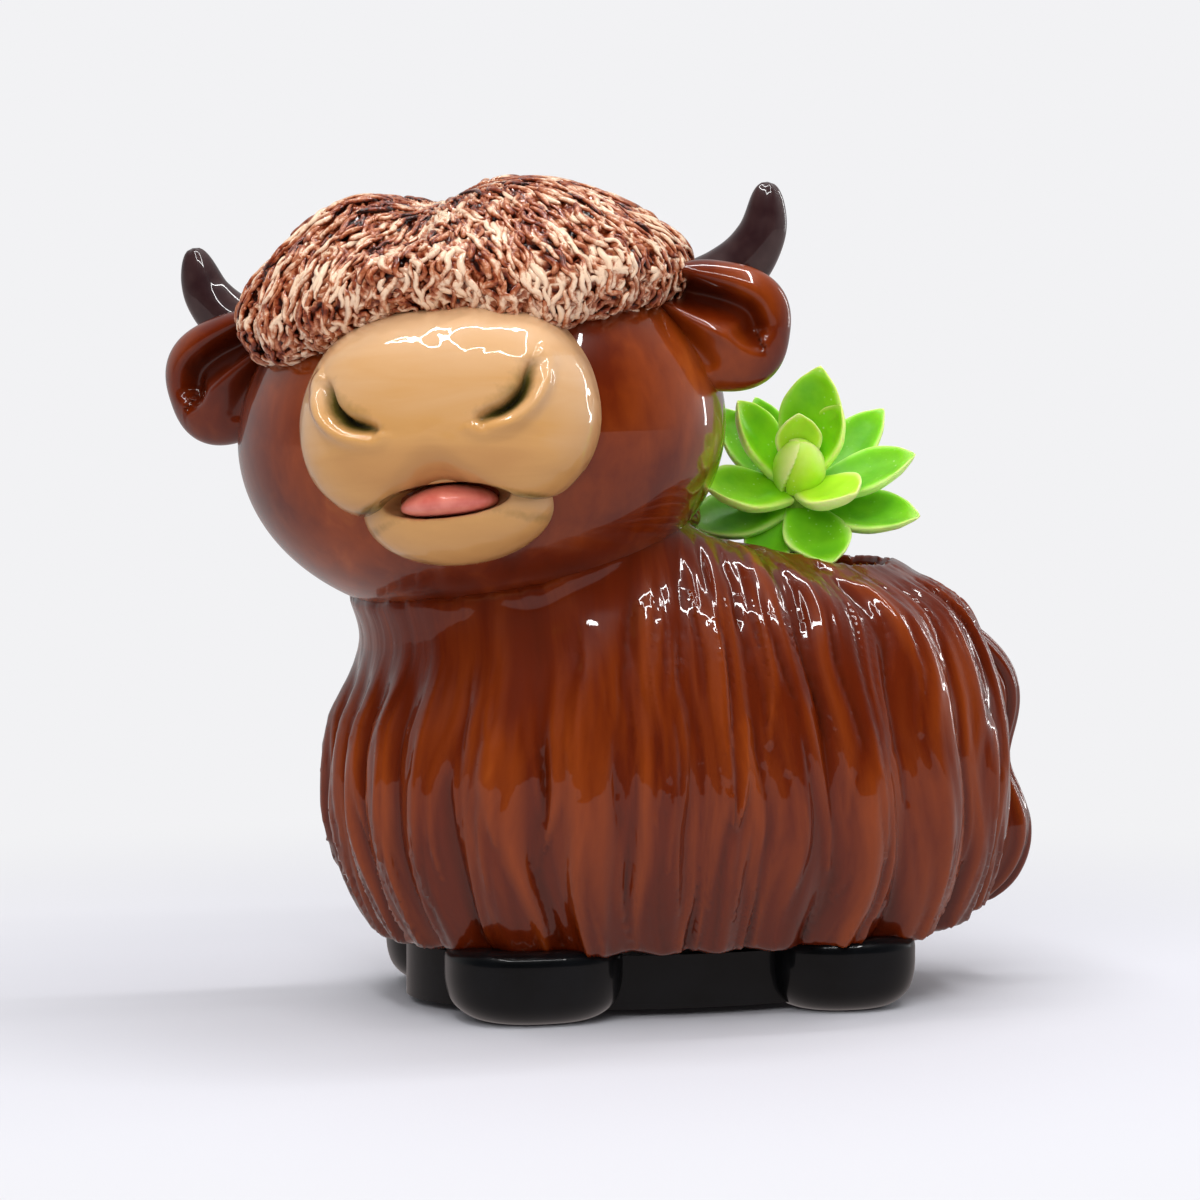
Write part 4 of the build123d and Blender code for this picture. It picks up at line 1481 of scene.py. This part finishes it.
class PLANTER_OT_ears(bpy.types.Operator):
    """Model the two thick cupped ears"""

    bl_idname = "planter.ears"
    bl_label = "Ears"

    def execute(self, context):
        finish = brown_glaze("treacle_brown_ear_glaze", False)
        for side, name in ((1, "left"), (-1, "right")):
            ear = ball(f"glazed_ear_{name}", 160, 96)
            points = points_of(ear)
            x, y, z = points.T
            facing = smoothstep(0.0, 0.45, -y)
            turn = np.arctan2(z, x)
            square = squared(turn, EAR_POWER)
            points = points * np.column_stack([square, np.ones(len(x)), square]) * EAR_HALF
            across, rise = points[:, 0], points[:, 2]
            gap, along, hand = from_line(across, rise, EAR_CUP)
            wide = np.where(hand < 0, EAR_CUP_LOWER_WIDTH, EAR_CUP_UPPER_WIDTH)
            press = EAR_CUP_DEPTH * np.exp(-((gap / wide) ** 2)) * (1 - 0.35 * along)
            gap, along, _ = from_line(across, rise, EAR_FOLD)
            press += EAR_FOLD_DEPTH * np.exp(-((gap / EAR_FOLD_WIDTH) ** 2)) * (1 - 0.5 * along)
            gap, along, _ = from_line(across, rise, EAR_RIDGE)
            press -= EAR_RIDGE_HEIGHT * np.exp(-((gap / EAR_RIDGE_WIDTH) ** 2)) * (1 - 0.75 * along)
            points[:, 1] += press * facing
            points[:, 0] *= side
            move_points(ear, points)
            # How deep the cup and fold are pressed in, which the glaze paints as shade.
            store(ear, "hollow", np.clip(press / 7, 0, 1) * facing)
            left, back, height = EAR_MIDDLE
            place = (
                Matrix.Translation((side * left, back, height))
                @ Matrix.Rotation(side * EAR_TURN, 4, "Z")
                @ Matrix.Rotation(side * EAR_TURN, 4, "Y")
            )
            settle(ear, HEAD @ place, finish, "planter", [f"ear_{name}"])
        return {"FINISHED"}


class PLANTER_OT_tail(bpy.types.Operator):
    """Model the tail, a rope of hair that ends in a tuft"""

    bl_idname = "planter.tail"
    bl_label = "Tail"

    def execute(self, context):
        tail, turn, place = rod("glazed_tail", TAIL_LINE, TAIL_RADII, 120, 200, side=(1, 0, 0))
        points = points_of(tail)
        twist = TAIL_STRANDS * turn + TAIL_TWIST * place + 0.8 * np.sin(9 * place)
        fade = np.clip(np.minimum(place, 1 - place) / 0.06, 0, 1)
        strand = -TAIL_GROOVE * (1 - np.abs(np.sin(twist / 2))) ** 2.2
        strand += 0.25 * np.sin(11 * turn + 5 * place)
        move_points(tail, points + normals_of(tail) * (strand * fade)[:, None])
        store(tail, "relief", np.clip(0.6 + 0.5 * strand, 0, 1))
        round_it, along_it = TAIL_FLOW
        flow = np.column_stack([round_it * np.cos(turn), round_it * np.sin(turn), along_it * place])
        store(tail, "flow", flow * MM)
        finish = brown_glaze("treacle_brown_tail_glaze", True)
        settle(tail, TORSO, finish, "planter", ["tail"])
        return {"FINISHED"}


class PLANTER_OT_feet(bpy.types.Operator):
    """Model the four hooves and glaze the base ring"""

    bl_idname = "planter.feet"
    bl_label = "Hooves and base"

    def execute(self, context):
        look = context.scene.planter_glaze
        finish = plain_glaze("black_gloss_glaze", look.hoof, "#0b0d10", 12, 0.35)
        outline = smooth_path(HOOF_OUTLINE, 300)
        for side, x in HOOF_SIDES:
            for end, y, long in HOOF_ENDS:
                hoof = ball(f"glazed_hoof_{end}_{side}", 96, 64)
                turn, place = angles(points_of(hoof))
                out, rise = read_path(outline, 1 - place).T
                out = out * squared(turn, HOOF_POWER)
                across = x + out * np.cos(turn)
                back = y + long * out * np.sin(turn)
                move_points(hoof, np.column_stack([across, back, rise]))
                settle(hoof, TORSO, finish, "planter", [f"hoof_{end}_{side}"])
        cover(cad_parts["base_plinth"], finish)
        return {"FINISHED"}


class PLANTER_OT_filling(bpy.types.Operator):
    """Finish the potting mix, the root plug and the drain screen, and scatter soil crumbs"""

    bl_idname = "planter.filling"
    bl_label = "Filling"

    def execute(self, context):
        look = context.scene.planter_plant
        peat = soil("damp_peat_and_bark")
        cover(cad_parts["potting_mix"], peat)
        cover(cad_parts["root_plug"], peat)
        cover(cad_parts["drain_screen"], screen_plastic())
        bpy.ops.object.select_all(action="DESELECT")
        bpy.ops.mesh.primitive_ico_sphere_add(subdivisions=2, radius=1)
        pattern, faces = take_pattern(context.active_object)
        pick = random.Random(3)
        left, back, _ = CAST_MOUTH
        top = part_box("potting_mix")[1].z / MM
        for name, body, low, high in CRUMB_RINGS:
            spots = []
            for step in range(look.crumb_count // 2):
                reach = math.sqrt(pick.uniform(low**2, high**2))
                turn = pick.uniform(0, 2 * math.pi)
                grain = pick.uniform(*CRUMB_GRAIN)
                shape = (pick.uniform(*CRUMB_WIDE), pick.uniform(*CRUMB_WIDE), pick.uniform(*CRUMB_FLAT))
                knobs = 1 + 0.35 * ripple(pattern, 0.8, step * 1.7)
                across = left + reach * math.cos(turn)
                along = back + reach * math.sin(turn)
                middle = (across, along, top + 0.2 * grain)
                spots.append(pattern * shape * grain * knobs[:, None] + middle)
            settle(repeated(name, spots, faces), TORSO, peat, body, ())
        return {"FINISHED"}


class PLANTER_OT_rosette(bpy.types.Operator):
    """Model the succulent's leaves and heart bud, and finish its stem"""

    bl_idname = "planter.rosette"
    bl_label = "Succulent"

    def execute(self, context):
        look = context.scene.planter_plant
        flesh = {row: leaf_flesh(skin, *greens) for row, (skin, *greens) in LEAF_FLESH.items()}
        for name, turn, climb, long_share, wide_share, core_share in LEAVES:
            leaf = self.leaf(name, look, long_share, wide_share)
            place = (
                Matrix.Translation((0, 0, CORE_HEIGHT * core_share))
                @ Matrix.Rotation(math.radians(turn), 4, "Z")
                @ Matrix.Rotation(math.radians(-climb), 4, "Y")
            )
            row = name.split("_")[1]
            settle(leaf, ROSETTE @ place, flesh[row], "plant", [name])

        bud = ball("plump_heart_bud", 96, 64)
        points = points_of(bud)
        turn, place = angles(points)
        wrap = (BUD_WRAPS * turn / (2 * math.pi) + 0.55 * place) % 1
        fold = 1 + 0.13 * wrap - 0.09 * np.exp(-((wrap / 0.05) ** 2))
        thin = np.sin(math.pi * place) ** np.where(place < 0.5, 1.15, 0.8)
        radius = look.bud_radius / MM * thin * fold
        height = CORE_HEIGHT + look.bud_length / MM / 2 * np.cos(math.pi * place)
        move_points(bud, np.column_stack([radius * np.cos(turn), radius * np.sin(turn), height]))
        pale = 0.25 + 0.45 * wrap**3 + 0.25 * np.cos(math.pi * place)
        store(bud, "edge", np.clip(pale, 0, 1))
        settle(bud, ROSETTE, flesh["inner"], "plant", ["heart_bud"])

        cover(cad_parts["stem"], stem_skin())
        return {"FINISHED"}

    def leaf(self, name, look, long_share, wide_share):
        """A fleshy pointed leaf along +X: hollowed above, keeled below."""
        leaf = ball(f"plump_{name}", 40, 48)
        turn, place = angles(points_of(leaf))
        length = look.leaf_length / MM * long_share
        wide = look.leaf_width / MM * wide_share / 2
        thick = look.leaf_thickness / MM / 2
        half = np.interp(place, *smooth_path(LEAF_OUTLINE, 300).T)
        depth = np.interp(place, *np.array(LEAF_DEPTH).T)
        c, s = np.cos(turn), np.sin(turn)
        y = wide * half * np.sign(c) * np.abs(c) ** 0.85
        keel = np.where(s < 0, -1.25 * np.abs(s) ** 1.1, 0.55 * s)
        dished = smoothstep(0.15, 0.6, place) * (1 - smoothstep(0.85, 1.0, place))
        hollow = -0.55 * np.clip(s, 0, 1) * (1 - c**2) * dished
        z = thick * depth * (keel + hollow) + look.leaf_curl / MM * place**2
        z += 0.9 * np.abs(c) ** 2 * half * smoothstep(0.1, 0.5, place)
        move_points(leaf, np.column_stack([length * place, y, z]))
        rim = np.clip(np.abs(c) ** 5, 0, 1)
        tip = smoothstep(0.80, 1.0, place)
        under = 0.5 * (s < -0.2)
        store(leaf, "edge", np.clip(0.16 + 0.62 * rim + 0.3 * tip + under, 0, 1))
        return leaf


class PLANTER_OT_stage(bpy.types.Operator):
    """Set up the pale floor, the lights and the camera"""

    bl_idname = "planter.stage"
    bl_label = "Stage"

    def execute(self, context):
        look = context.scene.planter_stage
        scene = context.scene
        scene.view_settings.view_transform = "Standard"
        self.floor(look)
        self.sky(scene, look)
        self.light_frame()
        for row in LAMPS:
            self.lamp(*row)

        camera = bpy.data.objects.new("camera", bpy.data.cameras.new("camera"))
        scene.collection.objects.link(camera)
        camera.location = TORSO_MIDDLE + Vector(look.camera_place)
        level = math.cos(CAMERA_PITCH)
        x, y = CAMERA_HEADING
        ahead = Vector((x * level, y * level, math.sin(CAMERA_PITCH)))
        camera.rotation_euler = ahead.to_track_quat("-Z", "Y").to_euler()
        camera.data.lens = CAMERA_LENS
        camera.data.sensor_width = CAMERA_SENSOR
        camera.data.clip_start = 0.01
        camera.data.dof.use_dof = False
        scene.camera = camera
        return {"FINISHED"}

    def light_frame(self):
        """Four strip lamps in a rectangle over the planter. Glazed curves mirror them as fine outlines."""
        x, y, z = FRAME_MIDDLE
        for name, side, shape in (
            ("strip_near", (FRAME_DEPTH / 2, 0), (FRAME_STRIP, FRAME_ACROSS)),
            ("strip_far", (-FRAME_DEPTH / 2, 0), (FRAME_STRIP, FRAME_ACROSS)),
            ("strip_left", (0, -FRAME_ACROSS / 2), (FRAME_DEPTH, FRAME_STRIP)),
            ("strip_right", (0, FRAME_ACROSS / 2), (FRAME_DEPTH, FRAME_STRIP)),
        ):
            place = (x + side[0], y + side[1], z)
            watts = FRAME_GLOW * math.pi * shape[0] * shape[1]
            lamp = self.lamp(name, place, (place[0], place[1], 0), shape, watts, True)
            lamp.rotation_euler = (0, 0, 0)

    def lamp(self, name, place, aim, shape, watts, seen):
        """A soft rectangular lamp. One that isn't seen lights the planter but is in no reflection."""
        data = bpy.data.lights.new(name, "AREA")
        data.shape = "RECTANGLE"
        data.size, data.size_y = shape
        data.energy = watts
        lamp = bpy.data.objects.new(name, data)
        bpy.context.scene.collection.objects.link(lamp)
        lamp.location = place
        lamp.rotation_euler = (Vector(aim) - Vector(place)).to_track_quat("-Z", "Y").to_euler()
        lamp.visible_glossy = seen
        return lamp

    def floor(self, look):
        """A sheet of matt paper that fades into the backdrop, and that glazes mirror a little darker."""
        bpy.ops.object.select_all(action="DESELECT")
        bpy.ops.mesh.primitive_plane_add(size=FLOOR_SIZE)
        floor = bpy.context.active_object
        floor.name = floor.data.name = "paper_floor"
        finish, tree, shader = blank("matt_white_paper")
        coordinates = node(tree, "ShaderNodeTexCoord").outputs["Object"]
        grain = node(
            tree, "ShaderNodeTexNoise", {"Vector": coordinates, "Scale": 1 / (0.3 * MM), "Detail": 2.0}
        ).outputs["Fac"]
        tint = ramp(tree, grain, ((0.0, linear("#cfcfd6")), (1.0, linear("#d5d5dc"))))
        tree.links.new(tint, shader.inputs["Base Color"])
        shader.inputs["Roughness"].default_value = 0.65
        # Seen by the eye, the paper fades into the backdrop away from the planter.
        near, away = FLOOR_FADE
        far = node(tree, "ShaderNodeVectorMath", {0: coordinates}, operation="LENGTH").outputs["Value"]
        fade = node(
            tree,
            "ShaderNodeMapRange",
            {"Value": far, "From Min": near, "From Max": away},
            interpolation_type="SMOOTHSTEP",
        ).outputs["Result"]
        light = node(tree, "ShaderNodeLightPath")
        share = node(
            tree, "ShaderNodeMath", {0: fade, 1: light.outputs["Is Camera Ray"]}, operation="MULTIPLY"
        ).outputs["Value"]
        share = node(
            tree, "ShaderNodeMath", {0: share, 1: light.outputs["Is Glossy Ray"]}, operation="MAXIMUM"
        ).outputs["Value"]
        mirrored = node(
            tree,
            "ShaderNodeMix",
            {
                "Factor": light.outputs["Is Glossy Ray"],
                MIX_FIRST: solid(look.backdrop),
                MIX_SECOND: linear("#b3a9a8"),
            },
            data_type="RGBA",
        ).outputs[MIX_RESULT]
        glow = node(tree, "ShaderNodeEmission", {"Color": mirrored})
        mixed = node(
            tree, "ShaderNodeMixShader", {0: share, 1: shader.outputs["BSDF"], 2: glow.outputs["Emission"]}
        )
        output = next(n for n in tree.nodes if n.type == "OUTPUT_MATERIAL")
        tree.links.new(mixed.outputs["Shader"], output.inputs["Surface"])
        floor.data.materials.append(finish)

    def sky(self, scene, look):
        """A pale tent round the planter with a darker opening on the side it is looked at from."""
        world = bpy.data.worlds.new("pale_tent")
        scene.world = world
        world.use_nodes = True
        tree = world.node_tree
        tree.nodes.clear()
        direction = node(tree, "ShaderNodeTexCoord").outputs["Generated"]
        towards = node(
            tree, "ShaderNodeVectorMath", {0: direction, 1: TENT_OPENING}, operation="DOT_PRODUCT"
        ).outputs["Value"]
        opening = node(
            tree,
            "ShaderNodeMapRange",
            {"Value": towards, "From Min": -0.45, "From Max": 0.55, "To Min": 1.0, "To Max": 0.07},
            interpolation_type="SMOOTHSTEP",
        ).outputs["Result"]
        tent = node(
            tree,
            "ShaderNodeMix",
            {"Factor": opening, MIX_FIRST: linear("#1c1614"), MIX_SECOND: solid(look.backdrop)},
            data_type="RGBA",
        ).outputs[MIX_RESULT]
        light = node(tree, "ShaderNodeLightPath")
        shown = node(
            tree,
            "ShaderNodeMix",
            {"Factor": light.outputs["Is Camera Ray"], MIX_FIRST: tent, MIX_SECOND: solid(look.backdrop)},
            data_type="RGBA",
        ).outputs[MIX_RESULT]
        eye = node(
            tree,
            "ShaderNodeMath",
            {0: light.outputs["Is Camera Ray"], 1: light.outputs["Is Glossy Ray"]},
            operation="MAXIMUM",
        ).outputs["Value"]
        # Glossy rays find the tent at under half its glow, so the glaze keeps its depth.
        strength = node(
            tree, "ShaderNodeMapRange", {"Value": eye, "To Min": 1.02, "To Max": 1.0}
        ).outputs["Result"]
        strength = node(
            tree,
            "ShaderNodeMath",
            {0: light.outputs["Is Glossy Ray"], 1: -0.55, 2: strength},
            operation="MULTIPLY_ADD",
        ).outputs["Value"]
        back = node(tree, "ShaderNodeBackground", {"Color": shown, "Strength": strength})
        node(tree, "ShaderNodeOutputWorld", {"Surface": back.outputs["Background"]})


PIECES = (
    PLANTER_OT_torso,
    PLANTER_OT_head,
    PLANTER_OT_face,
    PLANTER_OT_mop,
    PLANTER_OT_horns,
    PLANTER_OT_ears,
    PLANTER_OT_tail,
    PLANTER_OT_feet,
    PLANTER_OT_filling,
    PLANTER_OT_rosette,
    PLANTER_OT_stage,
)

SETTINGS = {
    "planter_coat": PlanterCoat,
    "planter_mop": PlanterMop,
    "planter_plant": PlanterPlant,
    "planter_glaze": PlanterGlaze,
    "planter_stage": PlanterStage,
}


class PLANTER_PT_pieces(bpy.types.Panel):
    """Pieces, sizes and colours of the planter"""

    bl_idname = "PLANTER_PT_pieces"
    bl_label = "Cow Planter"
    bl_space_type = "VIEW_3D"
    bl_region_type = "UI"
    bl_category = "Planter"

    def draw(self, context):
        layout = self.layout
        for piece in PIECES:
            layout.operator(piece.bl_idname)
        for group in SETTINGS:
            look = getattr(context.scene, group)
            box = layout.box()
            for key in look.__annotations__:
                box.prop(look, key)


def register():
    for group in SETTINGS.values():
        bpy.utils.register_class(group)
    for key, group in SETTINGS.items():
        setattr(bpy.types.Scene, key, PointerProperty(type=group))
    for kind in (*PIECES, PLANTER_PT_pieces):
        bpy.utils.register_class(kind)


def unregister():
    for kind in reversed((*PIECES, PLANTER_PT_pieces)):
        bpy.utils.unregister_class(kind)
    for key in SETTINGS:
        delattr(bpy.types.Scene, key)
    for group in reversed(SETTINGS.values()):
        bpy.utils.unregister_class(group)


def main():
    register()
    for piece in PIECES:
        group, action = piece.bl_idname.split(".")
        getattr(getattr(bpy.ops, group), action)()


if __name__ == "__main__":
    main()
